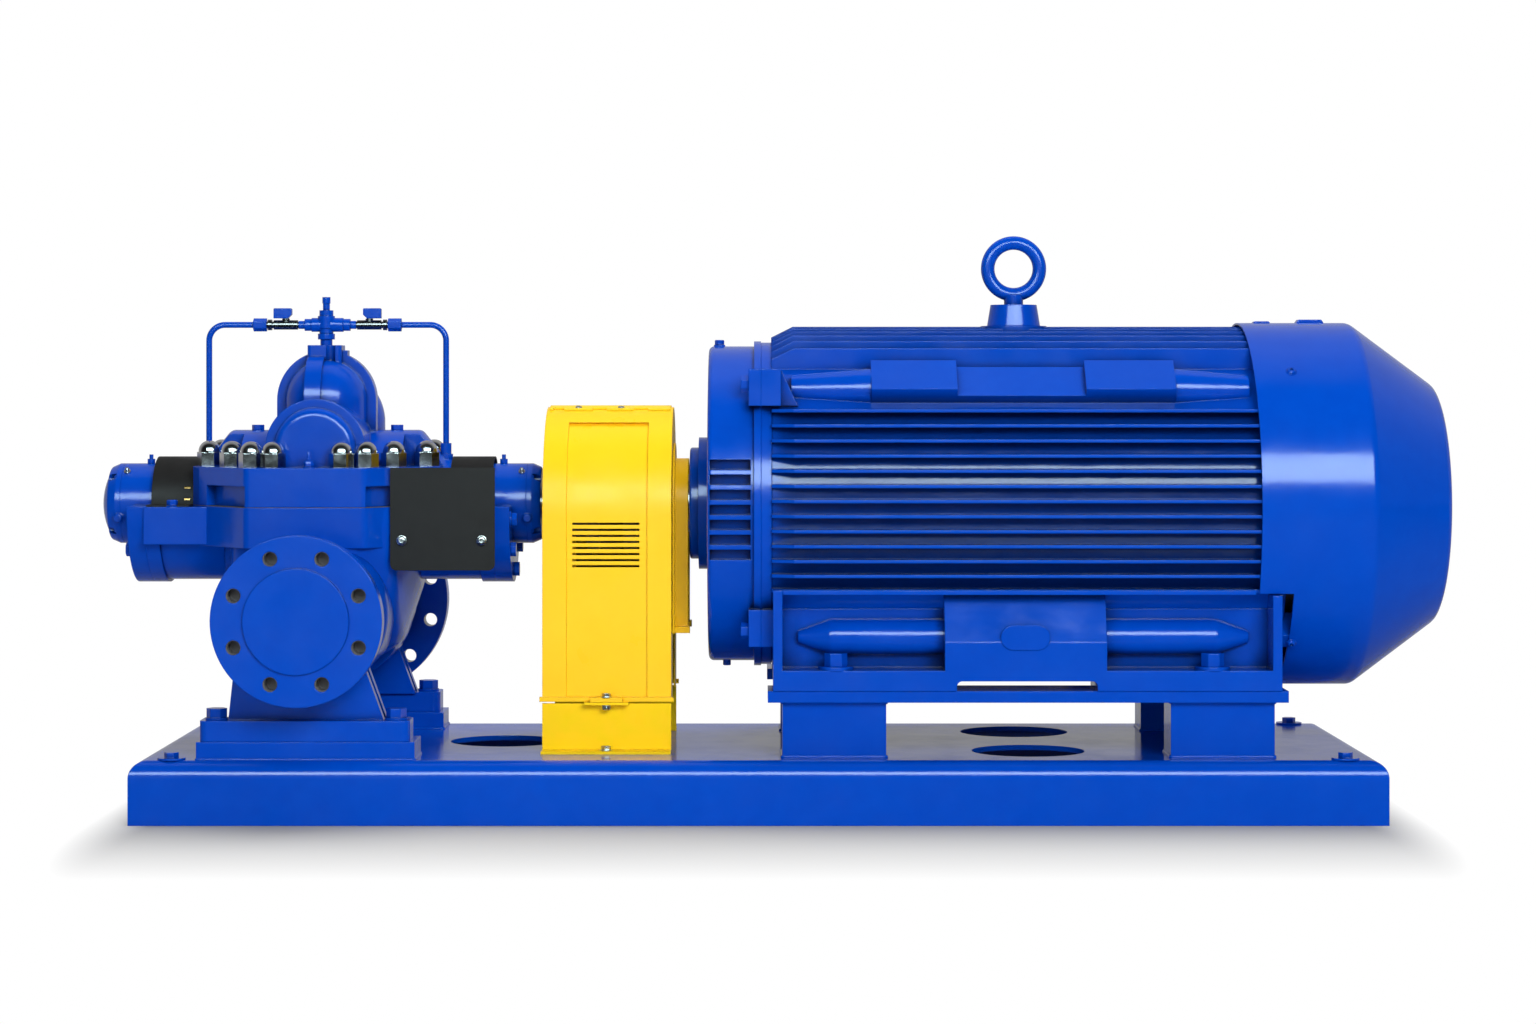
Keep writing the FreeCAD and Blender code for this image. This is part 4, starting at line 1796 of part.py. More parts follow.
def frame_outer():
    """Outside of the finned barrel with its bolting lugs, ridges, eye pad and box neck, without the feet."""
    shapes = [rod_x(FRAME_RADIUS, FRAME_LEFT, FRAME_RIGHT), rod_x(FRAME_RING_RADIUS, FRAME_LEFT, FIN_LEFT)]
    shapes += side_fins() + top_fins() + frame_ridges()
    shapes.append(rod_z(EYE_PAD_RADIUS, SHAFT_Z + FRAME_RADIUS - 10, EYE_PAD_TOP, EYE_X, 0))
    shapes += [lug_block(FRAME_LEFT, LUG_RIGHT, sy, sz) for sy in SIDES for sz in SIDES]
    low = SHAFT_Z + LUG_RISE - LUG_HALF_HEIGHT
    high = SHAFT_Z + LUG_RISE + LUG_HALF_HEIGHT
    gusset = prism_y([(LUG_RIGHT, low), (LUG_RIGHT + GUSSET, low), (LUG_RIGHT, high)],
                     -LUG_Y, -LUG_Y + 2 * LUG_HALF_WIDTH)
    shapes += both_sides(gusset)
    shapes.append(box(BOX_LEFT + 50, BOX_RIGHT - 50, FRAME_RADIUS * 0.7, FIN_ENVELOPE + 10,
                      (BOX_BOTTOM + BOX_TOP) / 2 - BOX_NECK / 2, (BOX_BOTTOM + BOX_TOP) / 2 + BOX_NECK / 2))
    return fuse(shapes)


def motor_frame():
    bore = rod_x(FRAME_RADIUS - FRAME_WALL, FRAME_LEFT - 1, FRAME_RIGHT + 1)
    tools = [bore, rod_z(EYE_THREAD_RADIUS + SEAT_GAP, EYE_PAD_TOP - EYE_SHANK, EYE_PAD_TOP + 1, EYE_X, 0)]
    return cut(frame_outer(), tools + lug_holes())


def motor_feet():
    front = fuse([frame_foot(), oval_plate()])
    tools = [frame_outer(), rod_x(FRAME_RADIUS + SEAT_GAP, FRAME_RIGHT, FOOT_PANEL_RIGHT + 1)]
    top = MOTOR_FOOT_Z + FOOT_PLATE_THICK + MOTOR_PAD_HEIGHT + 1
    tools += motor_bolt_holes(MOTOR_FOOT_Z - 1, top)
    return [cut(foot, tools) for foot in both_sides(front)]


def lug_block(x0, x1, side, level):
    """One bolting lug, front (-1) or rear (1), below (-1) or above (1) the shaft."""
    y = side * LUG_Y
    z = SHAFT_Z + level * LUG_RISE
    return box(x0, x1, y - LUG_HALF_WIDTH, y + LUG_HALF_WIDTH, z - LUG_HALF_HEIGHT, z + LUG_HALF_HEIGHT)


def lug_bolt_places():
    return [(sy * LUG_Y, SHAFT_Z + sz * LUG_BOLT_RISE) for sy in SIDES for sz in SIDES]


def lug_holes():
    radius = SHIELD_BOLT_RADIUS + BOLT_GAP
    return [rod_x(radius, LUG_LEFT - 1, LUG_RIGHT - 4, y, z) for y, z in lug_bolt_places()]


def drive_end_shield():
    """Drum-shaped shield: ring with lugs, recessed face with radial ribs, stacked pockets on both sides."""
    depth = FRAME_LEFT - SHIELD_LEFT
    drum = spin_x([
        (0, 0),
        (0, SHIELD_RADIUS, SHIELD_ROUND),
        (depth - SHIELD_RING, SHIELD_RADIUS),
        (depth - SHIELD_RING, SHIELD_RING_RADIUS),
        (depth, SHIELD_RING_RADIUS),
        (depth, 0),
    ], SHIELD_LEFT)
    recess_end = SHIELD_LEFT + SHIELD_RECESS
    web_end = recess_end + SHIELD_WEB
    hub_end = MOTOR_BEARING_LEFT + MOTOR_BEARING_WIDTH + 6
    tools = [
        tube_x(SHIELD_INNER_RADIUS, SHIELD_HUB_RADIUS, SHIELD_LEFT - 1, recess_end),
        tube_x(SHIELD_INNER_RADIUS, MOTOR_BEARING_RADIUS + 20, web_end, hub_end),
        rod_x(SHIELD_INNER_RADIUS, hub_end, FRAME_LEFT + 1),
        rod_x(MOTOR_BEARING_RADIUS + FIT, SHIELD_LEFT - 1, hub_end + 1),
    ]
    for index in range(SHIELD_POCKET_COUNT):
        top = SHIELD_RIB_TOP - index * FIN_PITCH - SHIELD_RIB_THICK / 2
        bottom = top - FIN_PITCH + SHIELD_RIB_THICK
        reach = math.sqrt(SHIELD_RADIUS ** 2 - ((top + bottom) / 2 - SHAFT_Z) ** 2)
        pocket = box(SHIELD_LEFT + 4, FRAME_LEFT - SHIELD_RING - 5, -SHIELD_RADIUS - 1,
                     SHIELD_POCKET_DEPTH - reach, bottom, top)
        tools += both_sides(pocket)
    ribs = []
    for index in range(SHIELD_FACE_RIBS):
        rib = box(SHIELD_LEFT + 2, recess_end + 1, -SHIELD_RIB_THICK / 2, SHIELD_RIB_THICK / 2,
                  SHAFT_Z + SHIELD_HUB_RADIUS - 2, SHAFT_Z + SHIELD_INNER_RADIUS + 2)
        rib.rotate(Vector(0, 0, SHAFT_Z), X_AXIS, 360 * (index + 0.5) / SHIELD_FACE_RIBS)
        ribs.append(rib)
    lugs = [lug_block(LUG_LEFT, FRAME_LEFT, sy, sz) for sy in SIDES for sz in SIDES]
    inside = rod_x(SHIELD_INNER_RADIUS, SHIELD_LEFT - 1, FRAME_LEFT + 1)
    lugs = [lug.cut(inside) for lug in lugs]
    return cut(fuse([cut(drum, tools)] + ribs + lugs), lug_holes())


def fan_end_shield():
    plate = rod_x(FRAME_RADIUS, FRAME_RIGHT, FAN_SHIELD_RIGHT)
    lugs = []
    for angle in COVER_LUG_ANGLES:
        lug = box(COVER_LUG_LEFT, COVER_LUG_RIGHT, -COVER_LUG_HALF, COVER_LUG_HALF, SHAFT_Z + FRAME_RADIUS - 16,
                  SHAFT_Z + FAN_COVER_RADIUS)
        lug.rotate(Vector(0, 0, SHAFT_Z), X_AXIS, angle - 90)
        lugs.append(lug.common(rod_x(FAN_COVER_RADIUS - FAN_COVER_SHEET, COVER_LUG_LEFT, COVER_LUG_RIGHT)))
    hub = rod_x(MOTOR_BEARING_RADIUS + 20, MOTOR_TAIL_BEARING_LEFT - 6, FAN_SHIELD_RIGHT + 10)
    bore = rod_x(MOTOR_BEARING_RADIUS + FIT, MOTOR_TAIL_BEARING_LEFT - 7, FAN_SHIELD_RIGHT)
    hole = rod_x(MOTOR_JOURNAL_RADIUS + 1, MOTOR_TAIL_BEARING_LEFT - 7, FAN_SHIELD_RIGHT + 11)
    return cut(fuse([plate, hub] + lugs), [bore, hole])


def motor_bearing_cap():
    depth = SHIELD_LEFT - CAP_LEFT
    cap = spin_x([
        (0, 0),
        (0, CAP_STEP_RADIUS, 4),
        (CAP_STEP, CAP_STEP_RADIUS),
        (CAP_STEP, CAP_RADIUS),
        (depth, CAP_RADIUS),
        (depth, 0),
    ], CAP_LEFT)
    spigot = rod_x(MOTOR_BEARING_RADIUS - FIT, SHIELD_LEFT, MOTOR_BEARING_LEFT - SEAT_GAP)
    hole = rod_x(MOTOR_JOURNAL_RADIUS + 1, CAP_LEFT - 1, 0)
    pocket = rod_x(MOTOR_BEARING_RADIUS - 15, SHIELD_LEFT - 6, 0)
    return cut(fuse([cap, spigot]), [hole, pocket])


def motor_fan_cover():
    """Spun sheet cover: cylinder, cone and a shallow domed end with a slotted grille."""
    length = FAN_COVER_SHOULDER - FAN_COVER_LEFT
    end = FAN_COVER_END - FAN_COVER_LEFT

    def skin(inset):
        return spin_x([
            (-1 if inset else 0, 0),
            (-1 if inset else 0, FAN_COVER_RADIUS - inset),
            (length - inset * 0.3, FAN_COVER_RADIUS - inset, FAN_COVER_ROUND),
            (end - inset * 0.3, FAN_COVER_END_RADIUS - inset, FAN_COVER_ROUND),
            (end + FAN_COVER_DOME - inset, FAN_COVER_END_RADIUS * 0.6),
            (end + FAN_COVER_DOME - inset, 0),
        ], FAN_COVER_LEFT)

    shell = skin(0).cut(skin(FAN_COVER_SHEET))
    slots = []
    outer = FAN_COVER_END_RADIUS * 0.92
    step = (outer - GRILLE_INNER) / GRILLE_SLOT_ROWS
    for row in range(GRILLE_SLOT_ROWS):
        low = GRILLE_INNER + row * step + GRILLE_RIB / 2
        high = GRILLE_INNER + (row + 1) * step - GRILLE_RIB / 2
        for index in range(GRILLE_SLOTS):
            slot = box(FAN_COVER_END - 20, FAN_COVER_END + 30, -GRILLE_SLOT_WIDTH / 2, GRILLE_SLOT_WIDTH / 2,
                       SHAFT_Z + low, SHAFT_Z + high)
            slot.rotate(Vector(0, 0, SHAFT_Z), X_AXIS, 360 * index / GRILLE_SLOTS)
            slots.append(slot)
    notch = box(FAN_COVER_LEFT - 1, FAN_NOTCH_RIGHT, -EVERYWHERE, EVERYWHERE, -1, FAN_NOTCH_TOP)
    return cut(shell, slots + [notch])


def motor_fan():
    hub = rod_x(FAN_HUB_RADIUS, FAN_LEFT, FAN_RIGHT)
    disc = rod_x(FAN_RADIUS, FAN_LEFT, FAN_LEFT + FAN_DISC_THICK)
    blades = []
    for index in range(FAN_BLADES):
        blade = box(FAN_LEFT, FAN_RIGHT, -FAN_BLADE_THICK / 2, FAN_BLADE_THICK / 2,
                    SHAFT_Z + FAN_HUB_RADIUS - 4, SHAFT_Z + FAN_RADIUS - 4)
        blade.rotate(Vector(0, 0, SHAFT_Z), X_AXIS, 360 * index / FAN_BLADES)
        blades.append(blade)
    bore = rod_x(MOTOR_SHAFT_RADIUS + FIT, FAN_LEFT - 1, FAN_RIGHT + 1)
    return fuse([hub, disc] + blades).cut(bore)


def motor_shaft():
    left_journal = MOTOR_BEARING_LEFT + MOTOR_BEARING_WIDTH
    right_journal = MOTOR_TAIL_BEARING_LEFT
    shaft = spin_x([
        (MOTOR_SHAFT_TIP, 0),
        (MOTOR_SHAFT_TIP, MOTOR_SHAFT_RADIUS),
        (CAP_LEFT - 4, MOTOR_SHAFT_RADIUS),
        (CAP_LEFT - 4, MOTOR_JOURNAL_RADIUS),
        (left_journal, MOTOR_JOURNAL_RADIUS),
        (left_journal, MOTOR_CORE_SHAFT_RADIUS),
        (right_journal, MOTOR_CORE_SHAFT_RADIUS),
        (right_journal, MOTOR_JOURNAL_RADIUS),
        (FAN_SHIELD_RIGHT + 14, MOTOR_JOURNAL_RADIUS),
        (FAN_SHIELD_RIGHT + 14, MOTOR_SHAFT_RADIUS),
        (MOTOR_SHAFT_TAIL, MOTOR_SHAFT_RADIUS),
        (MOTOR_SHAFT_TAIL, 0),
    ], 0)
    return shaft.cut(keyway(MOTOR_SHAFT_RADIUS, MOTOR_HUB_START, MOTOR_HUB_END, SEAT_GAP))


def motor_rotor_core():
    return tube_x(CORE_RADIUS, MOTOR_CORE_SHAFT_RADIUS + FIT, CORE_LEFT, CORE_RIGHT)


def motor_stator():
    core = tube_x(FRAME_RADIUS - FRAME_WALL - FIT, CORE_RADIUS + AIR_GAP, CORE_LEFT, CORE_RIGHT)
    left = tube_x(WINDING_OUTER, CORE_RADIUS + 10, CORE_LEFT - WINDING_LENGTH, CORE_LEFT)
    right = tube_x(WINDING_OUTER, CORE_RADIUS + 10, CORE_RIGHT, CORE_RIGHT + WINDING_LENGTH)
    return [core, left, right]


def terminal_box():
    """Cable box on the far side with a bolted lid and one cable entry below."""
    back = FIN_ENVELOPE + 10
    front = back + BOX_DEPTH
    left, right = BOX_LEFT, BOX_RIGHT
    outline = [(left, BOX_BOTTOM, BOX_ROUND), (right, BOX_BOTTOM, BOX_ROUND), (right, BOX_TOP, BOX_ROUND),
               (left, BOX_TOP, BOX_ROUND)]
    wall = BOX_WALL
    inner = [(left + wall, BOX_BOTTOM + wall), (right - wall, BOX_BOTTOM + wall), (right - wall, BOX_TOP - wall),
             (left + wall, BOX_TOP - wall)]
    edge = BOX_LID_EDGE
    lid = [(left - edge, BOX_BOTTOM - edge, BOX_ROUND), (right + edge, BOX_BOTTOM - edge, BOX_ROUND),
           (right + edge, BOX_TOP + edge, BOX_ROUND), (left - edge, BOX_TOP + edge, BOX_ROUND)]
    body = prism_y(outline, back, front).cut(prism_y(inner, back + wall, front + 1))
    middle = (left + right) / 2
    body = body.cut(rod_z(GLAND_HOLE_RADIUS, BOX_BOTTOM - 1, BOX_BOTTOM + wall + 1, middle, (back + front) / 2))
    return [body, prism_y(lid, front, front + BOX_LID)]


def motor_eyebolt():
    ring = Part.makeTorus(EYE_RING_RADIUS, EYE_ROD_RADIUS, Vector(EYE_X, 0, EYE_Z), Y_AXIS)
    base = Vector(EYE_X, 0, EYE_PAD_TOP)
    boss = Part.makeCone(EYE_BOSS_WIDE, EYE_BOSS_NARROW, EYE_BOSS_TOP - EYE_PAD_TOP, base)
    neck = rod_z(EYE_ROD_RADIUS * 1.4, EYE_BOSS_TOP - 1, EYE_Z - EYE_RING_RADIUS, EYE_X, 0)
    shank = rod_z(EYE_THREAD_RADIUS, EYE_PAD_TOP - EYE_SHANK + 1, EYE_PAD_TOP + 1, EYE_X, 0)
    return fuse([ring, boss, neck, shank])


def motor_shield_bolts():
    bolts = []
    for y, z in lug_bolt_places():
        bolts.append(bolt(Vector(LUG_LEFT, y, z), X_AXIS * -1, SHIELD_BOLT_RADIUS, SHIELD_BOLT_LENGTH,
                          SHIELD_BOLT_FLATS, SHIELD_BOLT_HEAD))
    return bolts


# Nozzle covers

def nozzle_cover(radius, bore, z, side):
    """Plain protective disc with a plug ring that sits in the bore."""
    face = side * (DISCHARGE_FACE + SEAT_GAP)
    near, far = sorted((face, face + side * COVER_THICK))
    disc = rod_y(radius, near, far, PUMP_X, z)
    near, far = sorted((face, face - side * (COVER_PLUG_LENGTH + SEAT_GAP)))
    plug = rod_y(bore - SEAT_GAP, near, far, PUMP_X, z)
    plug = plug.cut(rod_y(bore - SEAT_GAP - COVER_PLUG_WALL, near - 1, far + 1, PUMP_X, z))
    return fuse([disc, plug])


def build():
    os.makedirs("parts", exist_ok=True)
    export("base_frame", base_frame())
    export("base_cross_members", base_cross_members())
    export("pump_pads", pump_pads())
    export("hold_down_bolts", base_corner_bolts() + foot_bolts())
    export("lower_casing", lower_casing())
    export("casing_nozzles", casing_nozzles())
    export("casing_feet", casing_feet())
    export("bearing_arms", bearing_arms())
    export("upper_casing", upper_casing())
    export("casing_gasket", casing_gasket())
    export("casing_studs", casing_studs())
    export("casing_cap_nuts", [cap_nut(x, y) for x, y in stud_places()])
    export("pump_plugs", pump_plugs())
    export("casing_wear_rings", wear_rings())
    export("packing_rings", packing_rings())
    export("packing_glands", packing_glands())
    housing = bearing_housing()
    export("bearing_housing_inboard", housing)
    export("bearing_housing_outboard", mirror_at_pump(housing))
    export("bearing_cover_inboard", bearing_cover(True))
    export("bearing_cover_outboard", mirror_at_pump(bearing_cover(False)))
    export("machine_bolts", pump_bracket_bolts() + skirt_screws() + motor_shield_bolts())
    pump_inner, pump_outer, pump_balls = pump_ball_sets()
    motor_sets = motor_ball_sets()
    export("pump_bearing_inner_rings", both_ends(pump_inner))
    export("pump_ball_cages", both_ends(pump_balls))
    export("motor_bearing_inner_rings", [item[0] for item in motor_sets])
    export("bearing_outer_rings", both_ends(pump_outer) + [item[1] for item in motor_sets])
    export("motor_ball_cages", [item[2] for item in motor_sets])
    export("packing_guard_inboard", hood())
    export("packing_guard_outboard", mirror_at_pump(hood()))
    export("packing_guard_skirt", packing_guard_skirt())
    export("flush_piping", both_ends(flush_tube()) + flush_fittings())
    export("flush_valves", both_ends(flush_valve()))
    handle = flush_handle()
    export("flush_handle_inboard", handle)
    export("flush_handle_outboard", mirror_at_pump(handle))
    export("flush_cross", flush_cross())
    export("discharge_flange_cover", nozzle_cover(DISCHARGE_RAISED_RADIUS, DISCHARGE_BORE, DISCHARGE_Z, -1))
    export("suction_flange_cover", nozzle_cover(SUCTION_RAISED_RADIUS, SUCTION_BORE, SUCTION_Z, 1))
    export("pump_shaft", pump_shaft())
    export("impeller", impeller())
    export("shaft_sleeves", shaft_sleeves())
    export("shaft_slingers", shaft_slingers())
    export("pump_coupling_hub", pump_coupling_hub())
    export("motor_coupling_hub", motor_coupling_hub())
    export("coupling_element", coupling_element())
    front = guard_front_half()
    export("guard_front_half", front)
    export("guard_rear_half", mirror_y(front))
    export("guard_brackets", guard_brackets())
    export("guard_collar", guard_collar())
    export("motor_pedestals", motor_pedestals())
    export("motor_frame", motor_frame())
    export("motor_feet", motor_feet())
    export("motor_drive_end_shield", drive_end_shield())
    export("motor_fan_end_shield", fan_end_shield())
    export("motor_bearing_cap", motor_bearing_cap())
    export("motor_fan_cover", motor_fan_cover())
    export("motor_fan", motor_fan())
    export("motor_shaft", motor_shaft())
    export("motor_rotor_core", motor_rotor_core())
    export("motor_stator", motor_stator())
    export("motor_terminal_box", terminal_box())
    export("motor_eyebolt", motor_eyebolt())


build()
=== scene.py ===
import math
import random

import bmesh
import bpy
from mathutils import Matrix, Vector


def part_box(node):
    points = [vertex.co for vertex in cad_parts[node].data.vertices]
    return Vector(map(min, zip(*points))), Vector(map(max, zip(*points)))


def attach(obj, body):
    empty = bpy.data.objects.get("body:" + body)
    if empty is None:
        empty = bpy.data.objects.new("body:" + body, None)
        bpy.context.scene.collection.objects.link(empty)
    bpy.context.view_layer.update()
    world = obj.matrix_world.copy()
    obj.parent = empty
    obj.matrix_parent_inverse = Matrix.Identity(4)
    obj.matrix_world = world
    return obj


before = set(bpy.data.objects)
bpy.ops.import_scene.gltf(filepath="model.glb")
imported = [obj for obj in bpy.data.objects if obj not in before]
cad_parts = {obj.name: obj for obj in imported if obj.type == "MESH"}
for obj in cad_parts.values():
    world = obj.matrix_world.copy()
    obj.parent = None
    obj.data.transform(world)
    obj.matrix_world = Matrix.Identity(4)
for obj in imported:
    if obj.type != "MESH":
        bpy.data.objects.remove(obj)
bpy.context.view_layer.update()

# Photograph's camera: focal length and principal point in pixels of the 1536 by 1024 image,
# the sensor in millimetres and the place in metres
IMAGE_WIDTH = 1536
IMAGE_HEIGHT = 1024
FOCAL_PIXELS = 3420
PRINCIPAL_X = 758.5
PRINCIPAL_Y = 392
SENSOR_WIDTH = 36
CAMERA_PLACE = (0, -5.414, 0.6478)

# New pieces are drawn in millimetres, and this brings them to metres
MM = 0.001


def box_mm(node):
    """Lowest and highest corner of a node at rest, in millimetres."""
    return [Vector(corner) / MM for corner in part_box(node)]


def middle_mm(node):
    """Middle of a node's box at rest, in millimetres."""
    low, high = box_mm(node)
    return (low + high) / 2


# Places that several pieces share, in millimetres
SHAFT_Z = middle_mm("motor_drive_end_shield").z
PUMP_X = middle_mm("impeller").x
DECK_Z = box_mm("base_frame")[1].z
GUARD_LOW, GUARD_HIGH = box_mm("guard_front_half")
GUARD_X = middle_mm("guard_front_half").x
GUARD_RADIUS = 165.0
GUARD_ARCH_Z = GUARD_HIGH.z - GUARD_RADIUS
UP = (0, 0, 1)
DOWN = (0, 0, -1)
FRONT = (0, -1, 0)
REAR = (0, 1, 0)


# Node helpers

WHITE = (1, 1, 1, 1)


class Nodes:
    """Short calls for building one node tree."""

    def __init__(self, tree):
        self.tree = tree

    def add(self, kind, **values):
        """A new node, with inputs or settings given by name."""
        node = self.tree.nodes.new(kind)
        for name, value in values.items():
            if name in node.inputs:
                node.inputs[name].default_value = value
            else:
                setattr(node, name, value)
        return node

    def link(self, start, end):
        self.tree.links.new(start, end)

    def feed(self, socket, value):
        """A socket's value, from another socket or as it is."""
        if isinstance(value, bpy.types.NodeSocket):
            self.link(value, socket)
        else:
            socket.default_value = value

    def noise(self, coordinate, scale, detail=3.0, roughness=0.55, stretch=None):
        if stretch:
            mapping = self.add("ShaderNodeMapping", Scale=stretch)
            self.link(coordinate, mapping.inputs["Vector"])
            coordinate = mapping.outputs["Vector"]
        noise = self.add("ShaderNodeTexNoise", Scale=scale, Detail=detail, Roughness=roughness)
        self.link(coordinate, noise.inputs["Vector"])
        return noise.outputs["Fac"]

    def spread(self, factor, low, high, start=0.3, end=0.7):
        """The factor stretched from start..end to low..high."""
        node = self.add("ShaderNodeMapRange")
        for name, value in (("From Min", start), ("From Max", end), ("To Min", low), ("To Max", high)):
            node.inputs[name].default_value = value
        self.link(factor, node.inputs["Value"])
        return node.outputs["Result"]

    def blend(self, factor, first, second):
        """Colour between two colours by a factor, where a colour may also be a socket."""
        node = self.add("ShaderNodeMix", data_type="RGBA")
        self.link(factor, node.inputs["Factor"])
        for index, colour in ((6, first), (7, second)):
            plain = not isinstance(colour, bpy.types.NodeSocket)
            self.feed(node.inputs[index], (*colour, 1) if plain else colour)
        return node.outputs[2]

    def maths(self, operation, first, second=0.0):
        node = self.add("ShaderNodeMath", operation=operation)
        self.feed(node.inputs[0], first)
        self.feed(node.inputs[1], second)
        return node.outputs[0]

    def bump(self, height, strength, distance, normal):
        node = self.add("ShaderNodeBump", Strength=strength, Distance=distance)
        self.link(height, node.inputs["Height"])
        self.link(normal, node.inputs["Normal"])
        return node.outputs["Normal"]

    def axes(self, coordinate):
        """The X, Y and Z outputs of a coordinate."""
        node = self.add("ShaderNodeSeparateXYZ")
        self.link(coordinate, node.inputs["Vector"])
        return node.outputs

    def white_light(self, kind, strength):
        """White emission or background, of a strength that may be a socket."""
        node = self.add(kind, Color=WHITE)
        self.feed(node.inputs["Strength"], strength)
        return node.outputs[0]

    def choose(self, factor, first, second):
        """First shader where the factor is 0, second where it is 1."""
        node = self.add("ShaderNodeMixShader")
        self.link(factor, node.inputs["Fac"])
        self.link(first, node.inputs[1])
        self.link(second, node.inputs[2])
        return node.outputs["Shader"]


# Materials

# Reach in metres of the painted shade between fins and in tight corners, and the openness over which it
# fades
GAP_REACH = 0.034
GAP_CLOSED = 0.30
GAP_OPEN = 0.78
SHADE_SAMPLES = 4

BLUE = (0.0, 0.066, 0.50)
BLUE_PAINTED_SHADE = (0.0, 0.008, 0.07)
BLUE_DEEP = (0.0, 0.050, 0.42)
YELLOW = (0.97, 0.60, 0.014)
YELLOW_DEEP = (0.93, 0.55, 0.010)
LEMON = (0.78, 0.63, 0.0)
BLACK = (0.010, 0.010, 0.010)
BLACK_WORN = (0.014, 0.014, 0.014)

# Painted shade in the coupling guard's hollow, in metres: reach from the middle plane and the arch's axis,
# and half length
GUARD_INNER_REACH = 160.3 * MM
GUARD_INNER_HALF = 94 * MM
GUARD_PAINTED_SHADE = (0.012, 0.011, 0.010)


def start_material(name):
    """A new material, its node calls, its shader and its object coordinate."""
    made = bpy.data.materials.new(name)
    made.use_nodes = True
    nodes = Nodes(made.node_tree)
    shader = made.node_tree.nodes["Principled BSDF"]
    place = nodes.add("ShaderNodeTexCoord").outputs["Object"]
    return made, nodes, shader, place


def bright_edge(nodes, radius):
    """Rounded-edge normal, so that sharp paint edges catch light as a real coat does."""
    node = nodes.add("ShaderNodeBevel", Radius=radius)
    node.samples = SHADE_SAMPLES
    return node.outputs["Normal"]


def openness(nodes):
    """0 deep between fins and in tight corners, 1 on open faces; the mask of the painted shade."""
    hollow = nodes.add("ShaderNodeAmbientOcclusion", Distance=GAP_REACH, only_local=True)
    hollow.samples = SHADE_SAMPLES
    return nodes.spread(hollow.outputs["AO"], 0.0, 1.0, GAP_CLOSED, GAP_OPEN)


def enamel(name, colour, deep, roughness, waviness, peel, edge=0.0016, specular=0.32, painted_shade=None):
    """Sprayed enamel: slight colour drift, uneven gloss, casting waves and fine orange peel.

    A painted shade colour is what the coat falls to deep between fins and in tight corners, where shade
    falls.
    """
    made, nodes, shader, place = start_material(name)
    drift = nodes.noise(place, scale=5.0, detail=4.0)
    blotch = nodes.spread(nodes.noise(place, scale=38.0), 0.0, 0.55)
    coat = nodes.blend(blotch, nodes.blend(drift, colour, deep), deep)
    if painted_shade:
        # Painted shade: the coat darkens towards the shade colour where ambient occlusion finds it closed in
        coat = nodes.blend(openness(nodes), painted_shade, coat)
    nodes.link(coat, shader.inputs["Base Color"])
    gloss = nodes.noise(place, scale=16.0, detail=5.0)
    nodes.link(nodes.spread(gloss, roughness * 0.75, roughness * 1.3), shader.inputs["Roughness"])
    shader.inputs["Specular IOR Level"].default_value = specular
    waves = nodes.noise(place, scale=26.0, detail=2.0)
    normal = nodes.bump(waves, waviness, distance=0.004, normal=bright_edge(nodes, edge))
    orange_peel = nodes.noise(place, scale=420.0, detail=2.0)
    normal = nodes.bump(orange_peel, peel, distance=0.0004, normal=normal)
    nodes.link(normal, shader.inputs["Normal"])
    return made


def metal(name, colour, worn, roughness, grain, stretch, bump=0.15, edge=0.0006):
    """Bare metal with directional machining grain."""
    made, nodes, shader, place = start_material(name)
    lines = nodes.noise(place, grain, roughness=0.6, stretch=stretch)
    cloud = nodes.spread(nodes.noise(place, scale=30.0, detail=4.0), 0.0, 1.0)
    nodes.link(nodes.blend(cloud, colour, worn), shader.inputs["Base Color"])
    nodes.link(nodes.spread(lines, roughness * 0.7, roughness * 1.4), shader.inputs["Roughness"])
    shader.inputs["Metallic"].default_value = 1.0
    normal = nodes.bump(lines, bump, distance=0.0003, normal=bright_edge(nodes, edge))
    nodes.link(normal, shader.inputs["Normal"])
    return made


def matt(name, colour, second, roughness, scale, bump):
    """Dull surface such as rubber, packing or moulded plastic."""
    made, nodes, shader, place = start_material(name)
    grain = nodes.noise(place, scale, detail=4.0)
    cloud = nodes.spread(nodes.noise(place, scale=24.0), 0.0, 1.0)
    nodes.link(nodes.blend(cloud, colour, second), shader.inputs["Base Color"])
    nodes.link(nodes.spread(grain, roughness * 0.85, min(1.0, roughness * 1.2)), shader.inputs["Roughness"])
    shader.inputs["Specular IOR Level"].default_value = 0.3
    normal = nodes.bump(grain, bump, distance=0.0006, normal=bright_edge(nodes, 0.0008))
    nodes.link(normal, shader.inputs["Normal"])
    return made


def guard_enamel_and_painted_shade():
    """Yellow enamel outside; the guard's hollow, seen through the louvres, is painted near black as shade.
    """
    made = enamel("guard_enamel_and_painted_shade", YELLOW, YELLOW_DEEP, roughness=0.34, waviness=0.06, peel=0.04,
                  edge=0.0024, specular=0.14)
    nodes = Nodes(made.node_tree)
    # Painted shade: within the guard's arch and length the yellow falls to a near-black colour
    x, y, z = nodes.axes(nodes.add("ShaderNodeNewGeometry").outputs["Position"])
    rise = nodes.maths("MAXIMUM", nodes.maths("SUBTRACT", z, GUARD_ARCH_Z * MM), 0.0)
    squares = nodes.maths("ADD", nodes.maths("MULTIPLY", y, y), nodes.maths("MULTIPLY", rise, rise))
    within_reach = nodes.maths("LESS_THAN", nodes.maths("SQRT", squares), GUARD_INNER_REACH)
    offset = nodes.maths("ABSOLUTE", nodes.maths("SUBTRACT", x, GUARD_X * MM))
    within_length = nodes.maths("LESS_THAN", offset, GUARD_INNER_HALF)
    inside = nodes.maths("MULTIPLY", within_reach, within_length)
    coat = made.node_tree.nodes["Principled BSDF"].inputs["Base Color"]
    nodes.link(nodes.blend(inside, coat.links[0].from_socket, GUARD_PAINTED_SHADE), coat)
    return made


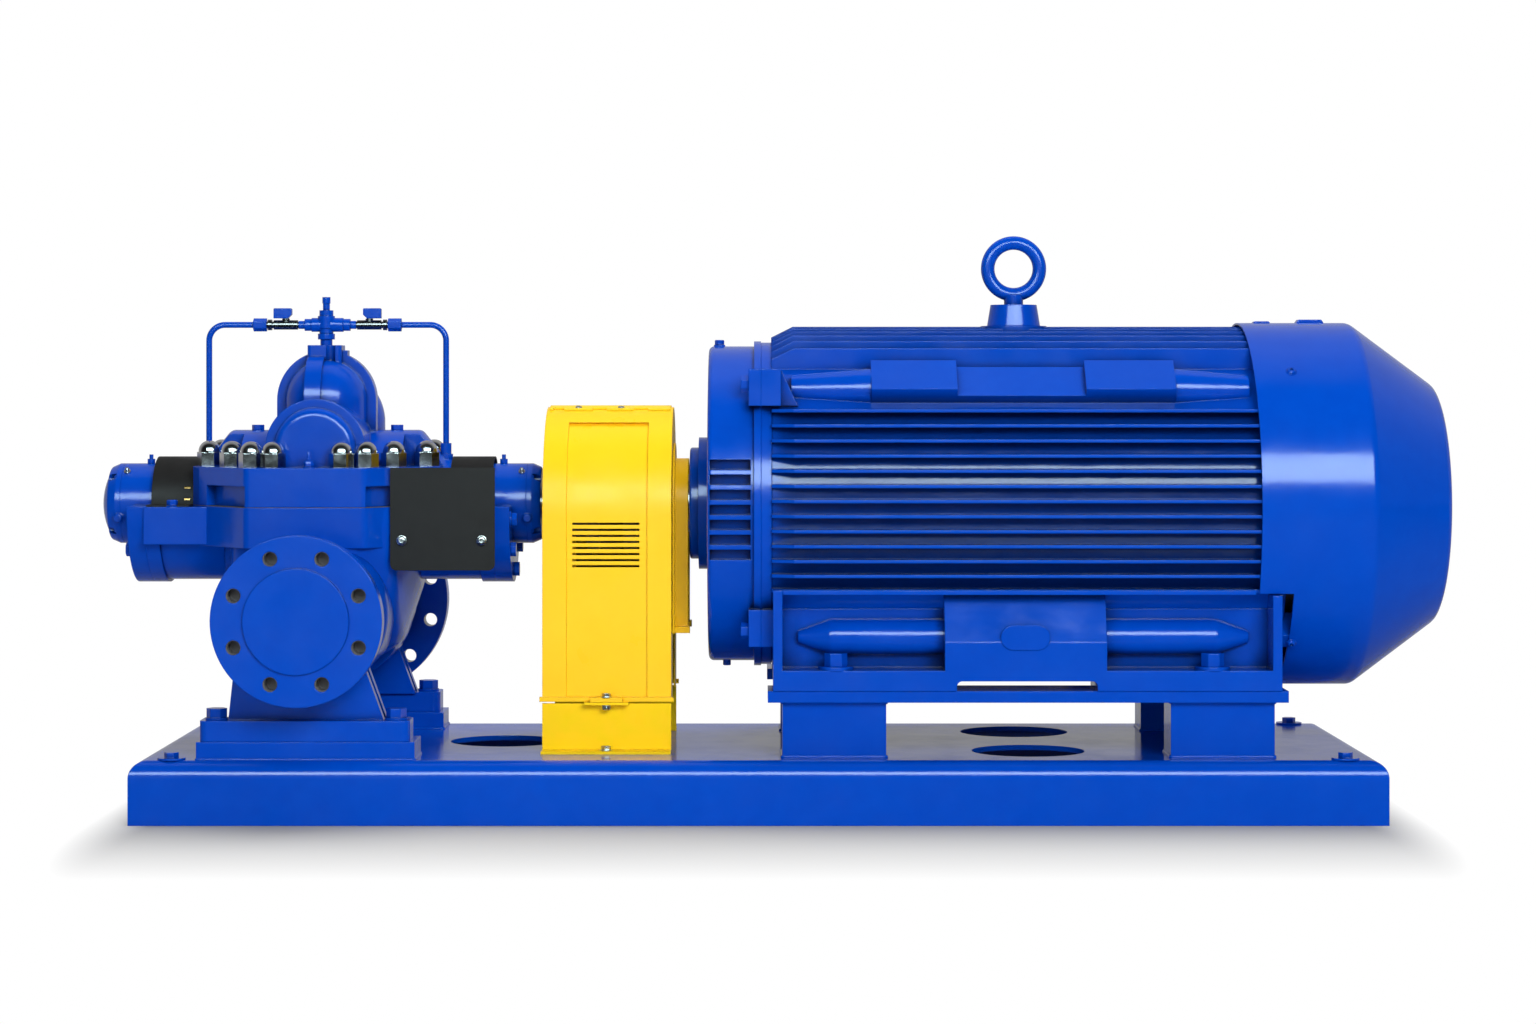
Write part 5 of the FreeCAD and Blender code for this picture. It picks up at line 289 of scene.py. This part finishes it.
looks = {
    # The cast blue carries painted shade between fins and in tight corners
    "cast_blue": enamel("blue_cast_enamel", BLUE, BLUE_DEEP, roughness=0.16, waviness=0.16, peel=0.05,
                        edge=0.0026, painted_shade=BLUE_PAINTED_SHADE),
    "sheet_blue": enamel("blue_sheet_enamel", BLUE, BLUE_DEEP, roughness=0.14, waviness=0.04, peel=0.03,
                         edge=0.0026),
    "yellow": enamel("yellow_enamel", YELLOW, YELLOW_DEEP, roughness=0.34, waviness=0.06, peel=0.04,
                     edge=0.0022, specular=0.14),
    "guard": guard_enamel_and_painted_shade(),
    "lemon": enamel("lemon_enamel", LEMON, YELLOW, roughness=0.30, waviness=0.03, peel=0.03,
                    specular=0.06),
    "black": enamel("black_sheet_enamel", BLACK, BLACK_WORN, roughness=0.48, waviness=0.05, peel=0.25,
                    edge=0.001, specular=0.12),
    "chrome": metal("chrome_plate", (0.66, 0.66, 0.67), (0.52, 0.52, 0.53), roughness=0.16,
                    grain=60.0, stretch=(1, 1, 1), bump=0.03, edge=0.0016),
    "dark_steel": metal("dark_steel", (0.20, 0.20, 0.20), (0.12, 0.12, 0.12), roughness=0.24,
                        grain=200.0, stretch=(6, 1, 1), bump=0.06),
    "zinc": metal("zinc_plate", (0.62, 0.62, 0.60), (0.50, 0.50, 0.50), roughness=0.28,
                  grain=300.0, stretch=(1, 1, 4), bump=0.12),
    "steel": metal("turned_steel", (0.55, 0.55, 0.56), (0.46, 0.46, 0.47), roughness=0.26,
                   grain=240.0, stretch=(8, 0.6, 0.6)),
    "iron": matt("cast_iron", (0.13, 0.13, 0.135), (0.09, 0.09, 0.095), roughness=0.55,
                 scale=500.0, bump=0.3),
    "bronze": metal("cast_bronze", (0.60, 0.37, 0.13), (0.48, 0.28, 0.09), roughness=0.34,
                    grain=200.0, stretch=(6, 1, 1)),
    "rubber": matt("black_rubber", (0.018, 0.018, 0.019), (0.028, 0.028, 0.028), roughness=0.62,
                   scale=700.0, bump=0.15),
    "packing": matt("plaited_packing", (0.10, 0.095, 0.08), (0.05, 0.05, 0.045), roughness=0.85,
                    scale=420.0, bump=0.6),
    "plates": metal("laminated_core", (0.32, 0.32, 0.33), (0.24, 0.24, 0.25), roughness=0.42,
                    grain=900.0, stretch=(6, 0.2, 0.2), bump=0.4),
    "plastic": matt("fan_plastic", (0.02, 0.02, 0.022), (0.03, 0.03, 0.032), roughness=0.5,
                    scale=300.0, bump=0.1),
}

# Looks of the frame's nodes; a node that isn't named here is cast and blue
NODE_LOOKS = {
    "sheet_blue": ("base_frame", "base_cross_members", "motor_pedestals", "motor_fan_cover", "pump_pads",
                   "discharge_flange_cover", "suction_flange_cover", "motor_terminal_box"),
    "guard": ("guard_front_half", "guard_rear_half"),
    "yellow": ("guard_collar",),
    "lemon": ("guard_brackets",),
    "black": ("packing_guard_inboard", "packing_guard_outboard", "packing_guard_skirt"),
    "chrome": ("casing_cap_nuts",),
    "dark_steel": ("flush_valves",),
    "zinc": ("casing_studs",),
    "steel": ("pump_shaft", "motor_shaft", "bearing_outer_rings", "pump_bearing_inner_rings",
              "motor_bearing_inner_rings", "pump_ball_cages", "motor_ball_cages"),
    "bronze": ("casing_wear_rings", "packing_glands", "impeller", "shaft_sleeves"),
    "iron": ("pump_coupling_hub", "motor_coupling_hub"),
    "rubber": ("coupling_element", "shaft_slingers"),
    "packing": ("casing_gasket", "packing_rings"),
    "plates": ("motor_rotor_core", "motor_stator"),
    "plastic": ("motor_fan",),
}


def dress(thing, look):
    """The look in place of whatever materials a thing has."""
    thing.data.materials.clear()
    thing.data.materials.append(looks[look])


look_of = {node: look for look, nodes in NODE_LOOKS.items() for node in nodes}
for name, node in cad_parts.items():
    dress(node, look_of.get(name, "cast_blue"))


# Building new pieces; lengths in millimetres until they become vertices

BEAD_PITCH = 5.0
BEAD_SIDES = 7


def along(direction, turn=0.0):
    """Rotation that takes +Z to a direction, after a turn about it in degrees."""
    aim = Vector(direction).normalized().to_track_quat("Z", "Y").to_matrix().to_4x4()
    return aim @ Matrix.Rotation(math.radians(turn), 4, "Z")


def join_rings(shape, low, high):
    """Faces between two rings of vertices, where a ring of one vertex is a point on the axis."""
    sides = max(len(low), len(high))
    for index in range(sides):
        after = (index + 1) % sides
        if len(low) == 1:
            shape.faces.new((low[0], high[after], high[index]))
        elif len(high) == 1:
            shape.faces.new((low[index], low[after], high[0]))
        else:
            shape.faces.new((low[index], low[after], high[after], high[index]))


def lathe(shape, place, direction, outline, sides=24, turn=0.0):
    """Closed solid of revolution: outline gives (height, radius) pairs from the base to the top."""
    seat = Matrix.Translation(Vector(place)) @ along(direction, turn)
    rings = []
    for height, radius in outline:
        if radius <= 0:
            rings.append([shape.verts.new((seat @ Vector((0, 0, height))) * MM)])
            continue
        ring = []
        for index in range(sides):
            angle = 2 * math.pi * index / sides
            spot = Vector((radius * math.cos(angle), radius * math.sin(angle), height))
            ring.append(shape.verts.new((seat @ spot) * MM))
        rings.append(ring)
    for low, high in zip(rings, rings[1:]):
        join_rings(shape, low, high)


def hex_head(shape, place, direction, flats, height, washer=0.0, turn=0.0):
    """Hexagon head or nut with a chamfered crown, on a thin washer if its radius is given."""
    base = Vector(place)
    aim = Vector(direction).normalized()
    if washer:
        thick = 0.12 * flats
        lathe(shape, base, aim, [(0, 0), (0, washer), (thick * 0.7, washer), (thick, washer * 0.96),
                                 (thick, 0)])
        base = base + aim * thick
    corner = flats / math.sqrt(3)
    lathe(shape, base, aim, [(0, 0), (0, corner * 0.94), (height * 0.1, corner), (height * 0.86, corner),
                             (height, corner * 0.87), (height, 0)], 6, turn)


def pan_head(shape, place, direction, radius, height, drive=0.4):
    """Round screw head with a domed top and a drive recess of a share of its radius."""
    bottom = height * 0.45
    lathe(shape, place, direction, [
        (0, 0), (0, radius), (height * 0.35, radius), (height * 0.75, radius * 0.86), (height, radius * 0.6),
        (height, radius * drive), (bottom, radius * drive * 0.9), (bottom, 0),
    ])


def washer_disc(shape, place, direction, radius, thick):
    """Round washer or spot face whose outer edge is broken."""
    lathe(shape, place, direction, [(0, 0), (0, radius), (thick - 0.2, radius), (thick, radius - 0.4),
                                    (thick, 0)])


def cross_slab(shape, outline, half_width):
    """Prism of an outline in X and Z, to both sides of the XZ plane."""
    ends = [[shape.verts.new(Vector((x, y, z)) * MM) for x, z in outline] for y in (-half_width, half_width)]
    join_rings(shape, *ends)
    shape.faces.new(list(reversed(ends[0])))
    shape.faces.new(ends[1])


def bead(shape, path, radius, seed):
    """Weld bead along a path: a lumpy tube whose ripples follow each other."""
    chance = random.Random(seed)
    rings = []
    for start, end in zip(path, path[1:]):
        start, end = Vector(start), Vector(end)
        run = end - start
        count = max(2, round(run.length / BEAD_PITCH))
        aim = along(run)
        for step in range(count + 1):
            centre = start + run * (step / count)
            swell = radius * (0.86 + 0.28 * ((len(rings) % 2) * 0.6 + chance.random() * 0.4))
            ring = []
            for index in range(BEAD_SIDES):
                angle = 2 * math.pi * index / BEAD_SIDES
                offset = aim @ Vector((swell * math.cos(angle), swell * math.sin(angle), 0))
                ring.append(shape.verts.new((centre + offset) * MM))
            rings.append(ring)
    for low, high in zip(rings, rings[1:]):
        join_rings(shape, low, high)
    shape.faces.new(list(reversed(rings[0])))
    shape.faces.new(rings[-1])


def bead_round(shape, left, right, near, far, z, radius, seed):
    """Weld bead round an upright rectangular foot at one level."""
    corners = [(left, near, z), (right, near, z), (right, far, z), (left, far, z), (left, near, z)]
    bead(shape, corners, radius, seed)


def smooth(mesh_object, degrees):
    """Smooth shading that keeps edges sharper than an angle."""
    for polygon in mesh_object.data.polygons:
        polygon.use_smooth = True
    mesh_object.data.set_sharp_from_angle(angle=math.radians(degrees))


def piece(name, build, look, degrees=35, bevel=0.0):
    """One new object of the fixed set: build fills a bmesh, and a bevel in millimetres breaks its edges."""
    shape = bmesh.new()
    build(shape)
    bmesh.ops.recalc_face_normals(shape, faces=shape.faces[:])
    mesh = bpy.data.meshes.new(name)
    shape.to_mesh(mesh)
    shape.free()
    made = bpy.data.objects.new(name, mesh)
    bpy.context.scene.collection.objects.link(made)
    if bevel:
        rounding = made.modifiers.new("edges", "BEVEL")
        rounding.width = bevel * MM
        rounding.segments = 2
        rounding.limit_method = "ANGLE"
    dress(made, look)
    smooth(made, degrees)
    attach(made, "fixed_set")


# Coupling guard: screws through its ears with their ends and nuts, and screws in its feet

EAR_SCREW_Y = 177.0
EAR_TOP_Z = GUARD_LOW.z + 7.0
EAR_NUT_Z = GUARD_LOW.z - 4.3
SCREW_END_RISE = 5.7
SCREW_END = [(-1, 0), (-1, 2.6), (1.2, 2.6), (1.6, 2.0), (1.6, 0)]
FOOT_SCREW_Y = 185.0
FOOT_SCREW_Z = DECK_Z + 4.0


def guard_ear_screws(shape):
    for side in (-1, 1):
        ear_y = side * EAR_SCREW_Y
        hex_head(shape, (GUARD_X, ear_y, EAR_TOP_Z), UP, flats=12, height=5.5, washer=8.5, turn=10)
        lathe(shape, (GUARD_X, ear_y, EAR_TOP_Z + SCREW_END_RISE), UP, SCREW_END, sides=12)
        hex_head(shape, (GUARD_X, ear_y, EAR_NUT_Z), DOWN, flats=12, height=6, washer=7.5, turn=25)
        foot = (GUARD_X, side * FOOT_SCREW_Y, FOOT_SCREW_Z)
        hex_head(shape, foot, UP, flats=13, height=6, washer=10, turn=15)


piece("guard_hex_screws", guard_ear_screws, "zinc")


# Screws in the strip that joins the guard's halves over the top

STRIP_SCREW_XS = (GUARD_X - 50, GUARD_X + 17)
STRIP_SCREW_Y = 33.0
STRIP_RADIUS = GUARD_RADIUS + 3.0
STRIP_SCREW_SINK = 0.6


def strip_screws(shape):
    rise = math.sqrt(STRIP_RADIUS ** 2 - STRIP_SCREW_Y ** 2) - STRIP_SCREW_SINK
    for x in STRIP_SCREW_XS:
        for side in (-1, 1):
            y = side * STRIP_SCREW_Y
            pan_head(shape, (x, y, GUARD_ARCH_Z + rise), (0, y, rise), radius=5.5, height=2.4)


piece("guard_strip_screws", strip_screws, "zinc")


# Packing guard skirt: two pan heads on washers

SKIRT_LOW, SKIRT_HIGH = box_mm("packing_guard_skirt")
SKIRT_SCREW_XS = (SKIRT_LOW.x + 18, SKIRT_HIGH.x - 20)
SKIRT_SCREW_Y = SKIRT_LOW.y - 3.4
SKIRT_SCREW_Z = SKIRT_LOW.z + 46
SKIRT_WASHER = 1.0


def skirt_screw_heads(shape):
    for x in SKIRT_SCREW_XS:
        place = Vector((x, SKIRT_SCREW_Y, SKIRT_SCREW_Z))
        lathe(shape, place, FRONT, [(0, 0), (0, 7.8), (0.8, 7.8), (SKIRT_WASHER, 7.5), (SKIRT_WASHER, 0)])
        pan_head(shape, place + Vector(FRONT) * SKIRT_WASHER, FRONT, radius=6.8, height=3.4, drive=0.45)


piece("skirt_screw_heads", skirt_screw_heads, "zinc")


# Motor fan cover: four screws near its mouth and two tabs on its top

FAN_COVER_LOW, FAN_COVER_HIGH = box_mm("motor_fan_cover")
FAN_SCREW_X = FAN_COVER_LOW.x + 57
FAN_SCREW_REACH = FAN_COVER_HIGH.y - 0.2
FAN_SCREW_ANGLES = (46.6, 133.4, -46.6, -133.4)
FAN_WASHER = 1.1
# Corners of each tab, as X and rise above the cover's top, and its half width
FAN_TABS = (
    ([(849, -1.0), (853, 5.2), (889, 5.2), (893, -1.0)], 13),
    ([(781, -0.8), (784, 2.6), (806, 2.6), (809, -0.8)], 11),
)


def fan_cover_screws(shape):
    for angle in FAN_SCREW_ANGLES:
        turn = math.radians(angle)
        out = Vector((0, math.cos(turn), math.sin(turn)))
        spot = Vector((FAN_SCREW_X, 0, SHAFT_Z)) + out * FAN_SCREW_REACH
        washer_disc(shape, spot, out, radius=8.6, thick=FAN_WASHER)
        pan_head(shape, spot + out * FAN_WASHER, out, radius=6.2, height=3.6, drive=0.45)


def fan_cover_lugs(shape):
    for corners, half_width in FAN_TABS:
        cross_slab(shape, [(x, FAN_COVER_HIGH.z + rise) for x, rise in corners], half_width)


piece("fan_cover_screws", fan_cover_screws, "cast_blue")
piece("fan_cover_lugs", fan_cover_lugs, "sheet_blue", bevel=1.0)


# Motor shield: a plug on a spot face at the top and a drain plug at the bottom

SHIELD_REACH = 247.0
SHIELD_PLUG_X = -61.7
SHIELD_DRAIN_X = -50.0
SPOT_FACE_HEIGHT = 3.6


def shield_plugs(shape):
    top = Vector((SHIELD_PLUG_X, 0, SHAFT_Z + SHIELD_REACH))
    lathe(shape, top, UP, [(0, 0), (0, 9), (3.2, 9), (SPOT_FACE_HEIGHT, 8), (SPOT_FACE_HEIGHT, 0)])
    hex_head(shape, top + Vector(UP) * SPOT_FACE_HEIGHT, UP, flats=13, height=7.5, turn=5)
    hex_head(shape, (SHIELD_DRAIN_X, 0, SHAFT_Z - SHIELD_REACH), DOWN, flats=11, height=9.5, turn=12)


piece("shield_plugs", shield_plugs, "cast_blue")


# Pump: vent pin on the parting flange

VENT_X = PUMP_X - 4
VENT_Y = -199.0
FLANGE_TOP_Z = box_mm("casing_cap_nuts")[0].z
VENT_HEX_HEIGHT = 9.0
VENT_PIN = [(0, 0), (0, 3.4), (5, 3.2), (6, 2.3), (15, 2.1), (17, 1.4), (17, 0)]


def flange_vent(shape):
    hex_head(shape, (VENT_X, VENT_Y, FLANGE_TOP_Z), UP, flats=13, height=VENT_HEX_HEIGHT, washer=9)
    lathe(shape, (VENT_X, VENT_Y, FLANGE_TOP_Z + VENT_HEX_HEIGHT), UP, VENT_PIN, sides=14)


piece("flange_vent_pin", flange_vent, "cast_blue")


# Pump: dark iron threads in the holes of the discharge flange, cups closed at the back; partly the tapped
# bores' bare metal, partly painted shade that keeps the holes dark

FLANGE_HOLES = 8
FLANGE_HOLE_CIRCLE = 100.0
FLANGE_Z = middle_mm("discharge_flange_cover").z
THREAD_BACK_Y = box_mm("casing_nozzles")[0].y + 33.4
THREAD_TURNS = 11
THREAD_PITCH = 2.7
THREAD_START = 1.5
THREAD_DEPTH = 31.0
THREAD_OUTER = 10.9
THREAD_GROOVE = 10.4
THREAD_CREST = 9.9


def flange_hole_threads_and_painted_shade(shape):
    outline = [(0, 0), (0, THREAD_OUTER)]
    for turn in range(THREAD_TURNS):
        height = THREAD_START + THREAD_PITCH * turn
        outline += [(height, THREAD_OUTER), (height, THREAD_GROOVE),
                    (height + THREAD_PITCH / 2, THREAD_CREST)]
    # The cup's floor at the back closes each hole in dark iron, painted shade
    outline += [(THREAD_DEPTH, THREAD_OUTER), (THREAD_DEPTH, 10.5), (1.2, 9.6), (1.2, 0)]
    for index in range(FLANGE_HOLES):
        angle = 2 * math.pi * (index + 0.5) / FLANGE_HOLES
        place = (PUMP_X + FLANGE_HOLE_CIRCLE * math.cos(angle), THREAD_BACK_Y,
                 FLANGE_Z + FLANGE_HOLE_CIRCLE * math.sin(angle))
        lathe(shape, place, FRONT, outline, sides=20)


piece("flange_hole_threads_and_painted_shade", flange_hole_threads_and_painted_shade, "iron")


# Bearing housings, which mirror about the pump's middle: grease nipples, side plugs and hexagon plugs

NIPPLE_OFFSET = 310.0
NIPPLE_AIM = Vector((0, -38, 50.7)).normalized()
NIPPLE_REACH = 62.6
NIPPLE = [(0, 0), (0, 5.2), (2.2, 5.2), (2.6, 3.0), (5.0, 2.6), (6.2, 3.1), (7.4, 2.6), (8.2, 1.4), (8.2, 0)]
SIDE_PLUG_OFFSET = 320.0
SIDE_PLUG_Y = -58.6
SIDE_PLUG_Z = SHAFT_Z - 21.5
SIDE_PLUG = [(0, 0), (0, 9.5), (3, 9.5), (3.6, 8.6), (3.6, 6.6), (5.2, 7.4), (6.2, 6.4), (7.6, 7.2),
             (8.8, 6.2), (10.2, 6.8), (11.4, 5.4), (11.4, 0)]
FLANGE_PLUG = (PUMP_X + 296, -101.6, SIDE_PLUG_Z)
ARM_PLUG_OFFSET = 226.6
ARM_PLUG_Y = -114.0
ARM_TOP_Z = box_mm("bearing_arms")[1].z


def housing_fittings(shape):
    for side in (-1, 1):
        spot = Vector((PUMP_X + side * NIPPLE_OFFSET, 0, SHAFT_Z)) + NIPPLE_AIM * NIPPLE_REACH
        lathe(shape, spot, NIPPLE_AIM, NIPPLE, sides=16)


def side_plugs(shape):
    for side in (-1, 1):
        lathe(shape, (PUMP_X + side * SIDE_PLUG_OFFSET, SIDE_PLUG_Y, SIDE_PLUG_Z), FRONT, SIDE_PLUG)
        arm = (PUMP_X + side * ARM_PLUG_OFFSET, ARM_PLUG_Y, ARM_TOP_Z)
        hex_head(shape, arm, UP, flats=15, height=9, washer=10, turn=20)
    hex_head(shape, FLANGE_PLUG, (1, 0, 0), flats=19, height=9, washer=12)


piece("housing_grease_nipples", housing_fittings, "steel")
piece("housing_plugs", side_plugs, "cast_blue")


# Weld beads where the fabricated base meets its risers and pads

# The motor's risers: left ends, length, near and far side, and the levels of the beads at foot and top
RISER_LEFTS = (36.0, 623.0)
RISER_LENGTH = 157.0
RISER_NEAR = 160.0
RISER_FAR = 247.0
RISER_BEAD_ZS = (DECK_Z + 1.1, DECK_Z + 83.1)
RISER_BEAD = 2.6
RISER_SEED = 1
PAD_LOW, PAD_HIGH = box_mm("pump_pads")
PAD_NEAR = 190.0
PAD_BEAD_Z = DECK_Z + 0.9
PAD_BEAD = 2.2
PAD_SEED = 40


def base_welds(shape):
    seed = RISER_SEED
    for left in RISER_LEFTS:
        for side in (-1, 1):
            for z in RISER_BEAD_ZS:
                bead_round(shape, left, left + RISER_LENGTH, side * RISER_NEAR, side * RISER_FAR, z,
                           RISER_BEAD, seed)
                seed += 1


def pad_welds(shape):
    for side in (-1, 1):
        bead_round(shape, PAD_LOW.x, PAD_HIGH.x, side * PAD_NEAR, side * PAD_HIGH.y, PAD_BEAD_Z,
                   PAD_BEAD, PAD_SEED + side)


piece("riser_weld_beads", base_welds, "sheet_blue", degrees=60)
piece("pad_weld_beads", pad_welds, "sheet_blue", degrees=60)


# Terminal box: four countersunk lid screws

LID_LOW, LID_HIGH = box_mm("motor_terminal_box")
LID_SCREW_INSET = 18.0
LID_SCREW_SINK = 2.8
LID_SCREW = [(0, 0), (0, 3.2), (2.4, 6.2), (3.0, 6.2), (3.0, 2.6), (2.0, 2.4), (2.0, 0)]


def box_screws(shape):
    for x in (LID_LOW.x + LID_SCREW_INSET, LID_HIGH.x - LID_SCREW_INSET):
        for z in (LID_LOW.z + LID_SCREW_INSET, LID_HIGH.z - LID_SCREW_INSET):
            lathe(shape, (x, LID_HIGH.y - LID_SCREW_SINK, z), REAR, LID_SCREW)


piece("terminal_box_screws", box_screws, "zinc")


# Stage, in metres

# Half sizes of the area round the base where the floor carries painted shadow over its real shadow, and how
# far the painted shadow runs out beyond it
SHADE_HALF_LENGTH = 0.91
SHADE_HALF_DEPTH = 0.31
SHADE_REACH = 0.56
# The shade runs out this many times faster at the sides and at the back than in front
SIDE_FALL = 6.0
FRONT_FALL = 1.0
CONTACT_SHADE = (0.40, 0.40, 0.40)
BOUNCE_SHADE = (0.83, 0.83, 0.83)
FLOOR_HALF = 40.0
FRONT_GLOSS = 0.01
REAR_GLOSS = 0.45
WORLD_FILL = 0.13
MIDDLE = (0, 0, 0.45)


def add_object(name, data):
    made = bpy.data.objects.new(name, data)
    bpy.context.scene.collection.objects.link(made)
    return made


def make_camera():
    """Level camera whose shift puts the photograph's principal point where it was measured."""
    data = bpy.data.cameras.new("photo_camera")
    data.sensor_width = SENSOR_WIDTH
    data.lens = FOCAL_PIXELS * SENSOR_WIDTH / IMAGE_WIDTH
    data.shift_x = (IMAGE_WIDTH / 2 - PRINCIPAL_X) / IMAGE_WIDTH
    data.shift_y = (PRINCIPAL_Y - IMAGE_HEIGHT / 2) / IMAGE_WIDTH
    camera = add_object("photo_camera", data)
    camera.location = CAMERA_PLACE
    camera.rotation_euler = (math.radians(90), 0, 0)
    bpy.context.scene.camera = camera


def area_lamp(name, place, width, height, watts, diffuse=True, glossy=True, colour=(1, 1, 1)):
    """Rectangular lamp that faces the middle of the set."""
    data = bpy.data.lights.new(name, "AREA")
    data.shape = "RECTANGLE"
    data.size = width
    data.size_y = height
    data.energy = watts
    data.color = colour
    lamp = add_object(name, data)
    lamp.location = place
    aim = Vector(MIDDLE) - Vector(place)
    lamp.rotation_euler = aim.to_track_quat("-Z", "Y").to_euler()
    lamp.visible_diffuse = diffuse
    lamp.visible_glossy = glossy
    lamp.visible_camera = False


def past_edge(nodes, coordinate, sign, edge, fall):
    """How far a point lies past one edge of the shaded area, times the fall."""
    past = nodes.maths("SUBTRACT", nodes.maths("MULTIPLY", coordinate, sign), edge)
    return nodes.maths("MULTIPLY", nodes.maths("MAXIMUM", past, 0.0), fall)


def shade_end(nodes, x, y):
    """0 under the base, 1 where the painted shadow round it has run out."""
    along_x = nodes.maths("ADD", past_edge(nodes, x, 1, SHADE_HALF_LENGTH, SIDE_FALL),
                          past_edge(nodes, x, -1, SHADE_HALF_LENGTH, SIDE_FALL))
    along_y = nodes.maths("ADD", past_edge(nodes, y, 1, SHADE_HALF_DEPTH, SIDE_FALL),
                          past_edge(nodes, y, -1, SHADE_HALF_DEPTH, FRONT_FALL))
    squares = nodes.maths("ADD", nodes.maths("POWER", along_x, 2.0), nodes.maths("POWER", along_y, 2.0))
    return nodes.spread(nodes.maths("SQRT", squares), 0.0, 1.0, 0.0, SHADE_REACH)


def make_floor():
    """Pale paper that keeps the real shadow near the base, darkened there by painted shadow, and turns white
    beyond.

    Reflections see it as a glow that grows towards the rear.
    """
    mesh = bpy.data.meshes.new("studio_floor")
    corners = [(x * FLOOR_HALF, y * FLOOR_HALF, 0) for x, y in ((-1, -1), (1, -1), (1, 1), (-1, 1))]
    mesh.from_pydata(corners, [], [(0, 1, 2, 3)])
    floor = add_object("studio_floor", mesh)
    made, nodes, shader, place = start_material("floor_paper")
    shader.inputs["Roughness"].default_value = 0.9
    shader.inputs["Specular IOR Level"].default_value = 0.0
    path = nodes.add("ShaderNodeLightPath").outputs
    # Painted shadow: camera rays see the floor in the darker contact colour, other rays in the paler one
    nodes.link(nodes.blend(path["Is Camera Ray"], BOUNCE_SHADE, CONTACT_SHADE), shader.inputs["Base Color"])
    axes = nodes.axes(place)
    bare = nodes.maths("MULTIPLY", shade_end(nodes, axes["X"], axes["Y"]), path["Is Camera Ray"])
    seen = nodes.choose(bare, shader.outputs["BSDF"], nodes.white_light("ShaderNodeEmission", 1.0))
    rearward = nodes.spread(axes["Y"], FRONT_GLOSS, REAR_GLOSS, -0.5, 1.5)
    glow = nodes.white_light("ShaderNodeEmission", rearward)
    surface = nodes.choose(path["Is Glossy Ray"], seen, glow)
    nodes.link(surface, made.node_tree.nodes["Material Output"].inputs["Surface"])
    mesh.materials.append(made)


def make_world():
    """White for the camera, a weak fill for dull surfaces, and a glow from the rear in reflections."""
    world = bpy.data.worlds.new("studio")
    bpy.context.scene.world = world
    world.use_nodes = True
    world.node_tree.nodes.clear()
    nodes = Nodes(world.node_tree)
    path = nodes.add("ShaderNodeLightPath").outputs
    direction = nodes.axes(nodes.add("ShaderNodeTexCoord").outputs["Generated"])
    fill = nodes.white_light("ShaderNodeBackground", WORLD_FILL)
    rearward = nodes.spread(direction["Y"], FRONT_GLOSS, REAR_GLOSS, -0.2, 0.4)
    glow = nodes.white_light("ShaderNodeBackground", rearward)
    backdrop = nodes.white_light("ShaderNodeBackground", 1.0)
    lit = nodes.choose(path["Is Glossy Ray"], fill, glow)
    direct = nodes.maths("MAXIMUM", path["Is Camera Ray"], path["Is Transmission Ray"])
    output = nodes.add("ShaderNodeOutputWorld")
    nodes.link(nodes.choose(direct, lit, backdrop), output.inputs["Surface"])


make_camera()
make_floor()
make_world()
bpy.context.scene.view_settings.view_transform = "Standard"
area_lamp("front_box", (1.4, -5.0, 2.4), width=2.4, height=1.6, watts=225, glossy=False)
area_lamp("fill_box", (-1.2, -5.4, 0.9), width=2.4, height=1.6, watts=45, glossy=False)
area_lamp("top_box", (0, 0.6, 4.0), width=3.6, height=2.2, watts=130, glossy=False)
area_lamp("gloss_strip", (0.3, -3.7, 2.0), width=5.0, height=1.2, watts=300, diffuse=False,
          colour=(0.74, 0.97, 1.0))
area_lamp("rear_box", (0.6, 4.2, 1.8), width=3.0, height=1.8, watts=50, glossy=False)
